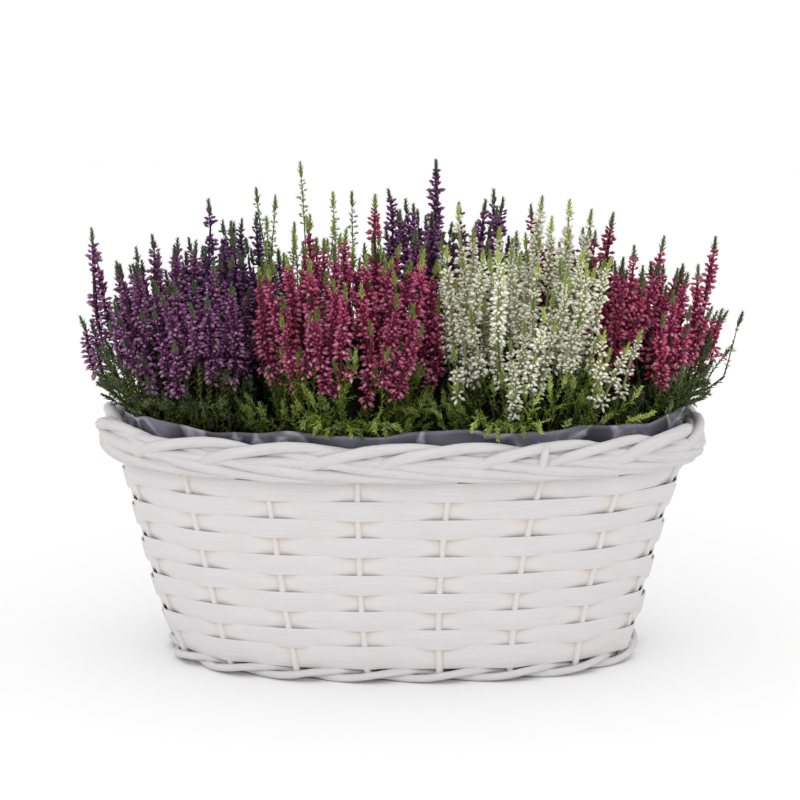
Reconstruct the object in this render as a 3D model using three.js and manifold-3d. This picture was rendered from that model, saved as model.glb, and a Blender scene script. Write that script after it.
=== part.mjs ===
// An oval wicker planter with eight flowering heathers.
//
// Flat whitened strips are woven round eighteen upright stakes. A pair of twined rods makes the foot, a
// thin board the floor, and a rolled border of bent rods the rim. A plastic liner holds potting soil, and
// each heather is a green bush in the soil with a head of flower spikes standing on it.
//
// Millimetres, +Z up, front towards -Y. The origin is the middle of the foot, on the surface it stands on.

import * as THREE from "three";
import { mergeVertices } from "three/addons/utils/BufferGeometryUtils.js";
import Module from "manifold-3d";

const wasm = await Module();
wasm.setup();

// ---------------------------------------------------------------- driving dimensions

const GAP = 0.3; // clearance between separate pieces that touch
const STAKES = 18;
const OVAL_POWER = 2.5; // the plan is a superellipse: 2 would be an ellipse
// Half width and half depth of the ring of stakes at a few heights, with straight flares between them.
const WALL_PROFILE = [
  { z: 0, x: 168, y: 105 },
  { z: 52.8, x: 178.3, y: 112.5 },
  { z: 108, x: 193.2, y: 123 },
  { z: 160, x: 211.5, y: 136 },
];

const STAKE_RADIUS = 2.8;
const STAKE_SIDES = 5;
const STAKE_BOTTOM = 0.4;
const STAKE_TOP = 149.7;

const FOOT_ROD_RADIUS = 2.4;
const FOOT_ROD_SIDES = 4;
// The two foot rods lie level this far each side of where they cross, in stake spacings.
const FOOT_CROSSING = 1 / 6;
const FOOT_SIDE_OFFSET = 6; // a foot rod passes this far in front of or behind each stake
const FOOT_LIFT = 2.9; // and this far above or below its partner between the stakes
const FOOT_ROD_FLAT = FOOT_ROD_RADIUS * Math.SQRT1_2; // the rods have four flats, one of them underneath
const FOOT_HEIGHT = 2 * (FOOT_LIFT + FOOT_ROD_FLAT);

const BOARD_THICKNESS = 6;
const BOARD_INSET = FOOT_SIDE_OFFSET + FOOT_ROD_FLAT + GAP;

const STRIP_THICKNESS = 1.6;
const STRIP_PITCH = 13.8;
const STRIP_GAP = 0.4;
const STRIP_ROWS = 10;
const STRIP_BOTTOM = 11.6;
const STRIP_FLAT = 10.6; // half length of the straight stretch in front of a stake
const STRIP_OFFSET = STAKE_RADIUS + GAP + STRIP_THICKNESS / 2;

const BORDER_ROD_RADIUS = 3.3;
const BORDER_ROD_SIDES = 4;
const BORDER_CORE = { halfWidth: 4, bottom: STAKE_TOP + GAP, top: 170 };
const BORDER_BULGE = 5; // extra swell of the rim at its left end
const BORDER_BULGE_SPREAD = 2;
const BORDER_BULGE_FULL = 6; // a rod that stands out this far takes the whole swell
// Stations along a border rod: stake spacings on from its stake, out from the ring of stakes, and height.
// The first rises over the top to the inside, the second slants down the outside below it.
const OVER_ROD = [[0, 7, 164], [0.45, 6, 173], [0.95, 1.5, 177], [1.4, -4.4, 170]];
const UNDER_ROD = [[0.05, 4.5, 164.5], [0.7, 8.6, 158.5], [1.3, 8.6, 155.6]];

const LINER_THICKNESS = 1;
const LINER_INSET = { floor: 8.4, wall: 5.2, rim: 9.8 }; // in from the ring of stakes to the film's outside
const LINER_TOP = 185;
// The film's cut edge waves up and down by these heights, this many times round the rim.
const LINER_WAVES = [{ height: 2.5, count: 11 }, { height: 1.5, count: 4 }];

const SOIL_EDGE = { z: 150, inset: 9.6 };
const SOIL_CENTRE = { z: 160, share: 0.3 };

const TRUNK = { radius: 5.6, sides: 6, bottom: 122, top: 180, hole: 7 };
const GREENS_TOP = 206;
const FLOWERS_BOTTOM = GREENS_TOP + GAP;

// Each plant: where its trunk stands, where its head of flowers is centred, how far the head reaches, how
// high its spikes stand in the middle, how many there are, and the tips of those that stand clear of them.
const PLANTS = [
  {
    name: "purple_left", flower: 0x7d3f80, leaf: 0x3d4f24, trunk: [-142, -16], head: [-172, -16], reach: 62,
    top: 312, spikes: 12,
    leaders: [[-228, -10, 314], [-246, 6, 247], [-204, -42, 291], [-183, -20, 310], [-166, -4, 306]],
  },
  {
    name: "violet_back_left", flower: 0x4e3070, leaf: 0x33421f, trunk: [-118, 50], head: [-134, 54],
    reach: 58, top: 322, spikes: 10,
    leaders: [[-146, 30, 332], [-127, 14, 307], [-112, 58, 320], [-139, 76, 312]],
  },
  {
    name: "white_back", flower: 0xd9dbc0, leaf: 0x6c8a3a, trunk: [-60, 60], head: [-68, 60], reach: 62,
    top: 330, spikes: 10,
    leaders: [[-97, 50, 333], [-79, 70, 357], [-54, 60, 335], [-40, 78, 334]],
  },
  {
    name: "magenta_front", flower: 0xa83a68, leaf: 0x56702a, trunk: [-48, -42], head: [-44, -44], reach: 72,
    top: 322, spikes: 12,
    leaders: [[-99, -50, 292], [-68, -25, 325], [-41, -60, 318], [-21, -20, 339], [14, -60, 303]],
  },
  {
    name: "violet_back", flower: 0x4c3172, leaf: 0x33421f, trunk: [26, 60], head: [28, 60], reach: 66,
    top: 330, spikes: 10,
    leaders: [[24, 50, 360], [1, 40, 331], [-12, 76, 336], [42, 72, 326], [68, 60, 337]],
  },
  {
    name: "white_front", flower: 0xe3e2cc, leaf: 0x5f8030, trunk: [72, -44], head: [94, -44], reach: 74,
    top: 328, spikes: 12,
    leaders: [[39, -22, 332], [100, -20, 338], [121, -4, 334], [136, -16, 328], [158, -70, 243]],
  },
  {
    name: "crimson_back", flower: 0x8f2a4d, leaf: 0x3c4c22, trunk: [114, 54], head: [130, 58], reach: 58,
    top: 314, spikes: 10,
    leaders: [[96, 54, 326], [157, 40, 321], [146, 66, 305]],
  },
  {
    name: "crimson_right", flower: 0xa02650, leaf: 0x44561f, trunk: [150, -8], head: [186, -6], reach: 60,
    top: 302, spikes: 12,
    leaders: [[191, 0, 307], [215, -10, 287], [228, -6, 307], [245.5, -30, 255], [204, -50, 248]],
  },
];
// The spikes at a plant's edge end lower than those in its middle: by the first drop on the side that faces
// out of the planter and by the second on the side that faces in, and each by a random part of the third.
const OUTER_DROP = 66;
const INNER_DROP = 20;
const UNEVEN_DROP = 10;
const CANDIDATES = 48; // places in a head from which the rule picks the one farthest from all spikes so far
const PLANT_GAP = 1; // each plant keeps this far from the line halfway to its neighbour
const FACING_NEIGHBOUR = 0.05; // least cosine towards a neighbour at which that line limits a plant

// A flower spike: radius over the florets and of the stem, bands of florets, how far its tip keeps inside
// the head, and its root, at a share of the way out to the tip but never beyond a part of the head's reach.
const SPIKE = {
  flowerRadius: 9, stemRadius: 4.2, bands: 5, clear: 8, root: { share: 0.56, fill: 0.5, z: 216 },
};
// The dense middle of a head, round in profile from one angle of an arc to another, set with florets that
// stand out and up from it.
const HEAD = { sides: 12, rings: 4, fill: 0.8, arc: [0.7, 2.7], out: 8, up: 13, uneven: 0.5, height: 46 };
// The green bush below: shares of the plant's reach at three heights, set with tufts of needles.
const BUSH = { sides: 10, shares: [0.16, 0.5, 0.62], heights: [166, 180, 192], out: 8, up: 6, uneven: 0.3 };
const SHOOT = {
  leafRadius: 6, stemRadius: 2.2, bands: 2, count: 6, root: { share: 0.35, z: 187 }, tipHeights: [214, 204],
};
const SHOOT_TAPER = 0.55; // a shoot loses this share of its width by its tip
const TUFT_RISE = 0.35; // a floret or tuft points up the shoot by this share of its length
const SEEDS = { places: 71, florets: 31, needles: 51 };

// ---------------------------------------------------------------- seeded draw and solids

// A small linear congruential generator, so that every run places the plants alike.
function seededRandom(seed) {
  let state = seed;
  return () => {
    state = (state * 1103515245 + 12345) % 2147483648;
    return state / 2147483648;
  };
}

const lerp = THREE.MathUtils.lerp;
const clamp = THREE.MathUtils.clamp;

function solidFrom(points, triangles) {
  const geometry = new THREE.BufferGeometry();
  geometry.setAttribute("position", new THREE.Float32BufferAttribute(points.flat(), 3));
  geometry.setIndex(triangles.flat());
  const merged = mergeVertices(geometry, 1e-4);
  return new wasm.Manifold(
    new wasm.Mesh({
      numProp: 3,
      vertProperties: merged.attributes.position.array,
      triVerts: new Uint32Array(merged.index.array),
    }),
  );
}

function geometryFrom(solid) {
  const mesh = solid.getMesh();
  const geometry = new THREE.BufferGeometry();
  geometry.setAttribute("position", new THREE.BufferAttribute(mesh.vertProperties, 3));
  geometry.setIndex(new THREE.BufferAttribute(mesh.triVerts, 1));
  return geometry;
}

// Fuses overlapping solids into one body, with any hollow sealed inside it filled and loose scraps dropped.
function fuse(solids) {
  const bodies = wasm.Manifold.union(solids).decompose();
  return bodies.reduce((largest, body) => (body.volume() > largest.volume() ? body : largest));
}

// Skins rings of points that have the same count. Closed skins join the last ring to the first; open ones
// get a fan at each end. A ring runs anticlockwise as seen from the last ring looking back at the first.
function skin(rings, closed = false) {
  const count = rings[0].length;
  const points = rings.flat();
  const triangles = [];
  const bands = closed ? rings.length : rings.length - 1;
  for (let i = 0; i < bands; i++) {
    const next = (i + 1) % rings.length;
    for (let j = 0; j < count; j++) {
      const k = (j + 1) % count;
      const [a, b, c, d] = [i * count + j, i * count + k, next * count + k, next * count + j];
      triangles.push([a, b, c], [a, c, d]);
    }
  }
  if (!closed) {
    const last = (rings.length - 1) * count;
    for (let j = 1; j < count - 1; j++) {
      triangles.push([0, j + 1, j], [last, last + j, last + j + 1]);
    }
  }
  return solidFrom(points, triangles);
}

// ---------------------------------------------------------------- the oval wall

function wallHalf(z) {
  const above = WALL_PROFILE.findIndex((knot) => knot.z > z);
  const i = above < 0 ? WALL_PROFILE.length - 1 : Math.max(above, 1);
  const [low, high] = [WALL_PROFILE[i - 1], WALL_PROFILE[i]];
  const share = (z - low.z) / (high.z - low.z);
  return { x: lerp(low.x, high.x, share), y: lerp(low.y, high.y, share) };
}

function ovalPoint(angle, z) {
  const half = wallHalf(z);
  const [c, s] = [Math.cos(angle), Math.sin(angle)];
  const measure = Math.abs(c / half.x) ** OVAL_POWER + Math.abs(s / half.y) ** OVAL_POWER;
  return new THREE.Vector2(c, s).multiplyScalar(measure ** (-1 / OVAL_POWER));
}

function ovalNormal(angle, z) {
  const half = wallHalf(z);
  const p = ovalPoint(angle, z);
  const slope = (v, h) => (Math.sign(v) * Math.abs(v / h) ** (OVAL_POWER - 1)) / h;
  return new THREE.Vector2(slope(p.x, half.x), slope(p.y, half.y)).normalize();
}

// Angles at equal steps of length round the wall at middle height, from the middle of the front.
const ARC_STEPS = 1440;
const MIDDLE_HEIGHT = 75;
const arcAngles = (() => {
  const angles = [];
  const lengths = [0];
  for (let i = 0; i <= ARC_STEPS; i++) {
    angles.push(-Math.PI / 2 + (2 * Math.PI * i) / ARC_STEPS);
    if (i > 0) {
      const step = ovalPoint(angles[i], MIDDLE_HEIGHT).distanceTo(ovalPoint(angles[i - 1], MIDDLE_HEIGHT));
      lengths.push(lengths[i - 1] + step);
    }
  }
  return { angles, lengths, total: lengths[ARC_STEPS] };
})();

// u counts stake spacings anticlockwise from the middle of the front, so stake k stands at u = k + 0.5.
function angleAt(u) {
  const turns = Math.floor(u / STAKES);
  const wanted = (u / STAKES - turns) * arcAngles.total;
  let i = 1;
  while (arcAngles.lengths[i] < wanted) i++;
  const [before, after] = [arcAngles.lengths[i - 1], arcAngles.lengths[i]];
  return lerp(arcAngles.angles[i - 1], arcAngles.angles[i], (wanted - before) / (after - before));
}

// A point at u and height z, out from the ring of stakes by out.
function wallPoint(u, z, out) {
  const angle = angleAt(u);
  const p = ovalPoint(angle, z).addScaledVector(ovalNormal(angle, z), out);
  return [p.x, p.y, z];
}

// A point in front of stake k, along its tangent by side and out from it by out.
function stakePoint(k, side, z, out) {
  const angle = angleAt(k + 0.5);
  const normal = ovalNormal(angle, z);
  const p = ovalPoint(angle, z).addScaledVector(normal, out);
  return [p.x - normal.y * side, p.y + normal.x * side, z];
}

// A ring of rods follows path(u), which gives { out, z }, with a section that keeps its upright position.
function rodRing(u, path, radius, sides) {
  const { out, z } = path(u);
  const ring = [];
  for (let j = 0; j < sides; j++) {
    const turn = -Math.PI / 2 + (2 * Math.PI * (j + 0.5)) / sides;
    ring.push(wallPoint(u, z + radius * Math.sin(turn), out + radius * Math.cos(turn)));
  }
  return ring.reverse();
}

// ---------------------------------------------------------------- basket

function footStrand(sign) {
  const middle = FOOT_HEIGHT / 2;
  const rings = [];
  for (let k = 0; k < STAKES; k++) {
    const turn = k % 2 === 0 ? sign : -sign;
    const between = () => ({ out: 0, z: middle - turn * FOOT_LIFT });
    const atStake = () => ({ out: turn * FOOT_SIDE_OFFSET, z: middle });
    rings.push(rodRing(k - FOOT_CROSSING, between, FOOT_ROD_RADIUS, FOOT_ROD_SIDES));
    rings.push(rodRing(k + FOOT_CROSSING, between, FOOT_ROD_RADIUS, FOOT_ROD_SIDES));
    rings.push(rodRing(k + 0.5, atStake, FOOT_ROD_RADIUS, FOOT_ROD_SIDES));
  }
  return skin(rings, true);
}

// A ring of straight stretches, one at each stake, at height z and out from the stakes by outOf(k).
function tangentRing(z, outOf) {
  const ring = [];
  for (let k = 0; k < STAKES; k++) {
    ring.push(stakePoint(k, -STRIP_FLAT, z, outOf(k)), stakePoint(k, STRIP_FLAT, z, outOf(k)));
  }
  return ring;
}

function board() {
  const ring = (z) => tangentRing(FOOT_HEIGHT / 2, () => -BOARD_INSET).map(([x, y]) => [x, y, z]);
  return skin([ring(0), ring(BOARD_THICKNESS)]);
}

function stake(k) {
  const heights = [STAKE_BOTTOM, WALL_PROFILE[1].z, WALL_PROFILE[2].z, STAKE_TOP];
  const rings = heights.map((z) => {
    const ring = [];
    for (let j = 0; j < STAKE_SIDES; j++) {
      const turn = (2 * Math.PI * j) / STAKE_SIDES;
      ring.push(stakePoint(k, STAKE_RADIUS * Math.sin(turn), z, STAKE_RADIUS * Math.cos(turn)));
    }
    return ring;
  });
  return skin(rings);
}

// A strip passes behind the stakes whose number has the row's parity, and in front of the others.
function strip(row) {
  const bottom = STRIP_BOTTOM + row * STRIP_PITCH;
  const top = bottom + STRIP_PITCH - STRIP_GAP;
  const half = STRIP_THICKNESS / 2;
  const outOf = (shift) => (k) => ((row + k) % 2 === 0 ? -STRIP_OFFSET : STRIP_OFFSET) + shift;
  const corners = [
    tangentRing(bottom, outOf(-half)), tangentRing(top, outOf(-half)),
    tangentRing(top, outOf(half)), tangentRing(bottom, outOf(half)),
  ];
  const sections = corners[0].map((_, i) => corners.map((ring) => ring[i]));
  return skin(sections, true);
}

function borderBulge(u) {
  const fromLeftEnd = (((u % STAKES) + STAKES) % STAKES) - 0.75 * STAKES;
  return BORDER_BULGE * Math.exp(-(fromLeftEnd ** 2) / BORDER_BULGE_SPREAD);
}

// One rod of the border by its stations, counted from stake k.
function borderRod(k, stations) {
  const rings = stations.map(([du, out, z]) => {
    const u = k + 0.5 + du;
    const swell = borderBulge(u) * clamp(out / BORDER_BULGE_FULL, 0, 1);
    return rodRing(u, () => ({ out: out + swell, z }), BORDER_ROD_RADIUS, BORDER_ROD_SIDES);
  });
  return skin(rings);
}

function border() {
  const { halfWidth, bottom, top } = BORDER_CORE;
  const corners = [
    tangentRing(bottom, () => -halfWidth), tangentRing(top, () => -halfWidth),
    tangentRing(top, () => halfWidth), tangentRing(bottom, () => halfWidth),
  ];
  const core = skin(corners[0].map((_, i) => corners.map((ring) => ring[i])), true);
  const rods = [];
  for (let k = 0; k < STAKES; k++) rods.push(borderRod(k, OVER_ROD), borderRod(k, UNDER_ROD));
  return fuse([core, ...rods]);
}

function liner() {
  const ring = (z, inset) => tangentRing(z, () => -inset);
  const turn = (i) => (2 * Math.PI * i) / (2 * STAKES);
  const edgeHeight = (i) =>
    LINER_WAVES.reduce((z, wave) => z + wave.height * Math.sin(wave.count * turn(i)), LINER_TOP);
  const edge = (inset) => ring(LINER_TOP, inset).map(([x, y], i) => [x, y, edgeHeight(i)]);
  const floor = BOARD_THICKNESS + GAP;
  const [, low, high] = WALL_PROFILE;
  const thick = LINER_THICKNESS;
  return skin([
    ring(floor, LINER_INSET.floor), ring(low.z, LINER_INSET.wall), ring(high.z, LINER_INSET.wall),
    edge(LINER_INSET.rim), edge(LINER_INSET.rim + thick),
    ring(high.z, LINER_INSET.wall + thick), ring(low.z, LINER_INSET.wall + thick),
    ring(floor + thick, LINER_INSET.floor + thick),
  ]);
}

// The upright trunk of a plant, or the hole for it.
function trunkPrism([x, y], radius, bottom, top) {
  const ringAt = (z) =>
    Array.from({ length: TRUNK.sides }, (_, j) => {
      const turn = (2 * Math.PI * j) / TRUNK.sides;
      return [x + radius * Math.cos(turn), y + radius * Math.sin(turn), z];
    });
  return skin([ringAt(bottom), ringAt(top)]);
}

function soil() {
  const lining = LINER_THICKNESS + GAP;
  const ring = (z, inset) => tangentRing(z, () => -inset - lining);
  const [, low, high] = WALL_PROFILE;
  const edge = ring(SOIL_EDGE.z, SOIL_EDGE.inset);
  const mound = skin([
    ring(BOARD_THICKNESS + GAP + lining, LINER_INSET.floor), ring(low.z, LINER_INSET.wall),
    ring(high.z, LINER_INSET.wall), edge,
    edge.map(([x, y]) => [x * SOIL_CENTRE.share, y * SOIL_CENTRE.share, SOIL_CENTRE.z]),
  ]);
  const holes = PLANTS.map((p) => trunkPrism(p.trunk, TRUNK.hole, TRUNK.bottom - GAP, SOIL_CENTRE.z + 1));
  return wasm.Manifold.difference([mound, ...holes]);
}

// ---------------------------------------------------------------- heathers

const GOLDEN_ANGLE = Math.PI * (3 - Math.sqrt(5));

// How far a plant centred at centres[i] may spread towards angle before it meets its neighbours.
function reachTowards(centres, i, angle, limit) {
  const [x, y] = centres[i];
  const [c, s] = [Math.cos(angle), Math.sin(angle)];
  let reach = limit;
  centres.forEach(([ox, oy], j) => {
    if (j === i) return;
    const [dx, dy] = [ox - x, oy - y];
    const towards = (dx * c + dy * s) / Math.hypot(dx, dy);
    if (towards > FACING_NEIGHBOUR) reach = Math.min(reach, (Math.hypot(dx, dy) / 2 - PLANT_GAP) / towards);
  });
  return reach;
}

// Skins rings whose points stand out by turns, so that each raised point is a four-sided pyramid: a floret,
// or a tuft of needles. The last ring runs up to an apex.
function tuftedSkin(rings, apex) {
  const count = rings[0].length;
  const points = [...rings.flat(), apex];
  const triangles = [];
  const last = (rings.length - 1) * count;
  for (let j = 0; j < count; j++) {
    const k = (j + 1) % count;
    for (let i = 0; i < rings.length - 1; i++) {
      const [a, b, c, d] = [i * count + j, i * count + k, (i + 1) * count + k, (i + 1) * count + j];
      if (isRaised(i, j)) triangles.push([a, b, d], [b, c, d]);
      else triangles.push([a, b, c], [a, c, d]);
    }
    triangles.push([last + j, last + k, points.length - 1]);
  }
  for (let j = 1; j < count - 1; j++) triangles.push([0, j + 1, j]);
  return solidFrom(points, triangles);
}

const isRaised = (i, j) => (i + j) % 2 === 0;

// A leafy or flowering shoot of four ranks: opposite pairs stand out from a slim stem, each pair crosswise
// to the pair below, as heather carries its leaves and buds.
function shoot(root, tip, outRadius, stemRadius, bands) {
  const from = new THREE.Vector3(...root);
  const to = new THREE.Vector3(...tip);
  const axis = to.clone().sub(from).normalize();
  const across = new THREE.Vector3(-axis.y, axis.x, 0.3).cross(axis).normalize();
  const other = axis.clone().cross(across);
  const rings = [];
  for (let i = 0; i <= bands; i++) {
    const share = i / (bands + 1);
    const slim = 1 - SHOOT_TAPER * share ** 2;
    const ring = [];
    for (let j = 0; j < 4; j++) {
      const radius = (isRaised(i, j) ? outRadius : stemRadius) * slim;
      const turn = (Math.PI * j) / 2;
      const p = from.clone().lerp(to, share + (isRaised(i, j) ? TUFT_RISE / bands : 0));
      p.addScaledVector(across, radius * Math.cos(turn)).addScaledVector(other, radius * Math.sin(turn));
      ring.push(p.toArray());
    }
    rings.push(ring);
  }
  return tuftedSkin(rings, tip);
}

// The dense middle of a bush: rings at shares of the reach, each at a height round its own middle, with
// every other point raised outwards and upwards by the tuft, some more than others.
function tuftedBush(reachOf, levels, tuft, [x, y, top], random) {
  const rings = levels.map(([share, z, [cx, cy]], i) =>
    Array.from({ length: tuft.sides }, (_, j) => {
      const turn = (2 * Math.PI * j) / tuft.sides;
      const raise = i > 0 && isRaised(i, j) ? 1 - tuft.uneven * random() : 0;
      const r = share * reachOf(turn) + raise * tuft.out;
      return [cx + r * Math.cos(turn), cy + r * Math.sin(turn), z + raise * tuft.up];
    }),
  );
  return tuftedSkin(rings, [x, y, top]);
}

const heads = PLANTS.map((p) => p.head);

// 1 on the side of a plant that faces out of the planter, 0 on the side that faces in.
function outwardness([x, y], angle) {
  const half = wallHalf(BORDER_CORE.top);
  const outward = new THREE.Vector2(x / half.x, y / half.y);
  return clamp(outward.x * Math.cos(angle) + outward.y * Math.sin(angle), 0, 1);
}

// The tips of a plant's spikes: its leaders, then one by one the free place that is farthest from them all.
function spikeTips(i) {
  const { head, reach, top, spikes, leaders } = PLANTS[i];
  const random = seededRandom(SEEDS.places + i);
  const places = [];
  for (let n = 0; n < CANDIDATES; n++) {
    const angle = n * GOLDEN_ANGLE + i;
    const share = Math.sqrt((n + 0.5) / CANDIDATES);
    const out = share * (reachTowards(heads, i, angle, reach) - SPIKE.clear);
    const drop = lerp(INNER_DROP, OUTER_DROP, outwardness(head, angle)) * share ** 2;
    const z = top - drop - UNEVEN_DROP * random();
    places.push([head[0] + out * Math.cos(angle), head[1] + out * Math.sin(angle), z]);
  }
  const tips = leaders.map((tip) => [...tip]);
  const distance = ([x, y]) => Math.min(...tips.map((tip) => Math.hypot(x - tip[0], y - tip[1])));
  while (tips.length < spikes) {
    tips.push(places.reduce((best, p) => (distance(p) > distance(best) ? p : best)));
  }
  return tips;
}

function flowers(i) {
  const { head, reach } = PLANTS[i];
  const reachOf = (angle) => reachTowards(heads, i, angle, reach) - HEAD.out - PLANT_GAP;
  const levels = [];
  for (let n = 0; n < HEAD.rings; n++) {
    const share = n / (HEAD.rings - 1);
    const round = Math.sin(lerp(...HEAD.arc, share));
    levels.push([HEAD.fill * round, FLOWERS_BOTTOM + HEAD.height * share, head]);
  }
  const apex = [...head, FLOWERS_BOTTOM + HEAD.height + HEAD.up];
  const core = tuftedBush(reachOf, levels, HEAD, apex, seededRandom(SEEDS.florets + i));
  const spikes = spikeTips(i).map((tip) => {
    const [dx, dy] = [tip[0] - head[0], tip[1] - head[1]];
    const inside = (SPIKE.root.fill * reachOf(Math.atan2(dy, dx))) / Math.hypot(dx, dy);
    const share = Math.min(SPIKE.root.share, inside);
    const root = [head[0] + share * dx, head[1] + share * dy, SPIKE.root.z];
    return shoot(root, tip, SPIKE.flowerRadius, SPIKE.stemRadius, SPIKE.bands);
  });
  return fuse([core, ...spikes]);
}

function greens(i) {
  const { trunk, head, reach } = PLANTS[i];
  const reachOf = (angle) => reachTowards(heads, i, angle, reach) - BUSH.out - PLANT_GAP;
  const waist = [(trunk[0] + head[0]) / 2, (trunk[1] + head[1]) / 2];
  const levels = [trunk, waist, head].map((middle, n) => [BUSH.shares[n], BUSH.heights[n], middle]);
  const core = tuftedBush(reachOf, levels, BUSH, [...head, GREENS_TOP], seededRandom(SEEDS.needles + i));
  const stem = trunkPrism(trunk, TRUNK.radius, TRUNK.bottom, TRUNK.top);
  const shoots = [];
  for (let n = 0; n < SHOOT.count; n++) {
    const angle = (2 * Math.PI * (n + 0.5)) / SHOOT.count + i;
    const far = reachOf(angle);
    const at = (share, z) => {
      const out = share * far;
      return [head[0] + out * Math.cos(angle), head[1] + out * Math.sin(angle), z];
    };
    const root = at(SHOOT.root.share, SHOOT.root.z);
    const tip = at(1, SHOOT.tipHeights[n % 2]);
    shoots.push(shoot(root, tip, SHOOT.leafRadius, SHOOT.stemRadius, SHOOT.bands));
  }
  return fuse([core, stem, ...shoots]);
}

// ---------------------------------------------------------------- assembly

const whitened = new THREE.MeshStandardMaterial({ color: 0xe2dfdf, roughness: 0.7 });
const plywood = new THREE.MeshStandardMaterial({ color: 0xcbb596, roughness: 0.8 });
const film = new THREE.MeshStandardMaterial({ color: 0x4a4a54, roughness: 0.35 });
const peat = new THREE.MeshStandardMaterial({ color: 0x2b211a, roughness: 0.95 });
const plantMaterial = (color) => new THREE.MeshStandardMaterial({ color, roughness: 0.8 });

const basket = new THREE.Group();
const filling = new THREE.Group();
const heathers = new THREE.Group();

function place(group, name, solid, material) {
  const mesh = new THREE.Mesh(geometryFrom(solid), material);
  mesh.name = name;
  group.add(mesh);
}

const numbered = (name, i) => `${name}_${String(i + 1).padStart(2, "0")}`;

place(basket, "foot_rod_a", footStrand(1), whitened);
place(basket, "foot_rod_b", footStrand(-1), whitened);
place(basket, "base_board", board(), plywood);
for (let k = 0; k < STAKES; k++) place(basket, numbered("stake", k), stake(k), whitened);
for (let row = 0; row < STRIP_ROWS; row++) place(basket, numbered("strip", row), strip(row), whitened);
place(basket, "rim_border", border(), whitened);
place(filling, "liner", liner(), film);
place(filling, "soil", soil(), peat);
PLANTS.forEach((plant, i) => {
  place(heathers, `heather_${plant.name}_greens`, greens(i), plantMaterial(plant.leaf));
  place(heathers, `heather_${plant.name}_flowers`, flowers(i), plantMaterial(plant.flower));
});

const planter = new THREE.Group();
planter.add(basket, filling, heathers);

export default planter;
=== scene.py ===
import math
import random

import bpy
import numpy as np
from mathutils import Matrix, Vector


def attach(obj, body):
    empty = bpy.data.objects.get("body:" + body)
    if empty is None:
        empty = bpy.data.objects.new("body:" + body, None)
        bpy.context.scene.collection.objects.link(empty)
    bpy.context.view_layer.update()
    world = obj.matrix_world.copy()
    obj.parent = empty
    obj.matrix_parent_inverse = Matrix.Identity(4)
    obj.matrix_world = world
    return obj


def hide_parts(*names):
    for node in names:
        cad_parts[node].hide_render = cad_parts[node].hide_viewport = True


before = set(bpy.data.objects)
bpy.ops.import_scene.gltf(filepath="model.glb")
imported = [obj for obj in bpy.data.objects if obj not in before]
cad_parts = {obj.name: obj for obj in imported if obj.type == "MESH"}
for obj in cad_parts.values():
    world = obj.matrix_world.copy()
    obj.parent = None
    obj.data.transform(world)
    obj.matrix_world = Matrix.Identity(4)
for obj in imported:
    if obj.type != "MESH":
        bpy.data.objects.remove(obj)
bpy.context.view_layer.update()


# ---- Camera ---------------------------------------------------------------------------------
# A long lens on a tripod a little above the rim looks straight at the front of the planter,
# from far enough off that its two ends look alike.

LENS_TARGET = Vector((-0.003, 0, 0.1856))
LENS_DISTANCE = 1.7
LENS_RAISED = math.radians(9.5)
LENS_LENGTH = 102.96
LENS_FRAME = 36


def new_object(name, data):
    """An object in the scene for a mesh, a lamp or a camera, at the origin and unturned."""
    made = bpy.data.objects.new(name, data)
    bpy.context.scene.collection.objects.link(made)
    return made


camera = new_object("camera", bpy.data.cameras.new("camera"))
camera.data.lens = LENS_LENGTH
camera.data.sensor_width = LENS_FRAME
camera.location = LENS_TARGET + LENS_DISTANCE * Vector((0, -math.cos(LENS_RAISED), math.sin(LENS_RAISED)))
camera.rotation_euler = (math.pi / 2 - LENS_RAISED, 0, 0)
bpy.context.scene.camera = camera


# ---- Base board -----------------------------------------------------------------------------
# A thin oval of plain plywood lies on the ground inside the foot and carries the liner. It is
# sawn to shape and left bare, so its long grain shows from below.

PLYWOOD_GRAIN = (14, 240, 240)


def linear(red, green, blue):
    """A colour as mixed by eye, 0 to 255, in the linear values that a shader takes."""
    values = [c / 255 for c in (red, green, blue)]
    return (*(v / 12.92 if v <= 0.04045 else ((v + 0.055) / 1.055) ** 2.4 for v in values), 1)


def feed(node, inputs):
    """Joins or sets each input of a node, by its name or number."""
    for key, value in inputs.items():
        if isinstance(value, bpy.types.NodeSocket):
            node.id_data.links.new(value, node.inputs[key])
        else:
            node.inputs[key].default_value = value


def put(tree, kind, inputs=None, output=0, **settings):
    """Adds a node to a tree, with its inputs and settings, and gives one of its outputs."""
    node = tree.nodes.new(kind)
    for setting, value in settings.items():
        setattr(node, setting, value)
    feed(node, inputs or {})
    return node.outputs[output]


def new_finish(name, roughness, specular):
    """A material with only its shader, and that shader's own gloss."""
    finish = bpy.data.materials.new(name)
    finish.use_nodes = True
    shader = finish.node_tree.nodes["Principled BSDF"]
    feed(shader, {"Roughness": roughness, "Specular IOR Level": specular})
    return finish, finish.node_tree, shader


def blended(share, first, second):
    """The colour between two others, by a share. A Mix node takes colours at 6 and 7, and gives one at 2."""
    return put(share.id_data, "ShaderNodeMix", {0: share, 6: first, 7: second}, output=2, data_type="RGBA")


def mottled(tree, scale, detail, more=None, **settings):
    """A random pattern over a piece, with its scale in patches to a metre."""
    place = put(tree, "ShaderNodeTexCoord", output="Object")
    inputs = {"Vector": place, "Scale": scale, "Detail": detail, **(more or {})}
    return put(tree, "ShaderNodeTexNoise", inputs, **settings)


def bumped(height, depth, strength):
    """Fine relief that follows a texture, with its depth in metres."""
    return put(height.id_data, "ShaderNodeBump", {"Height": height, "Distance": depth, "Strength": strength})


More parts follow.
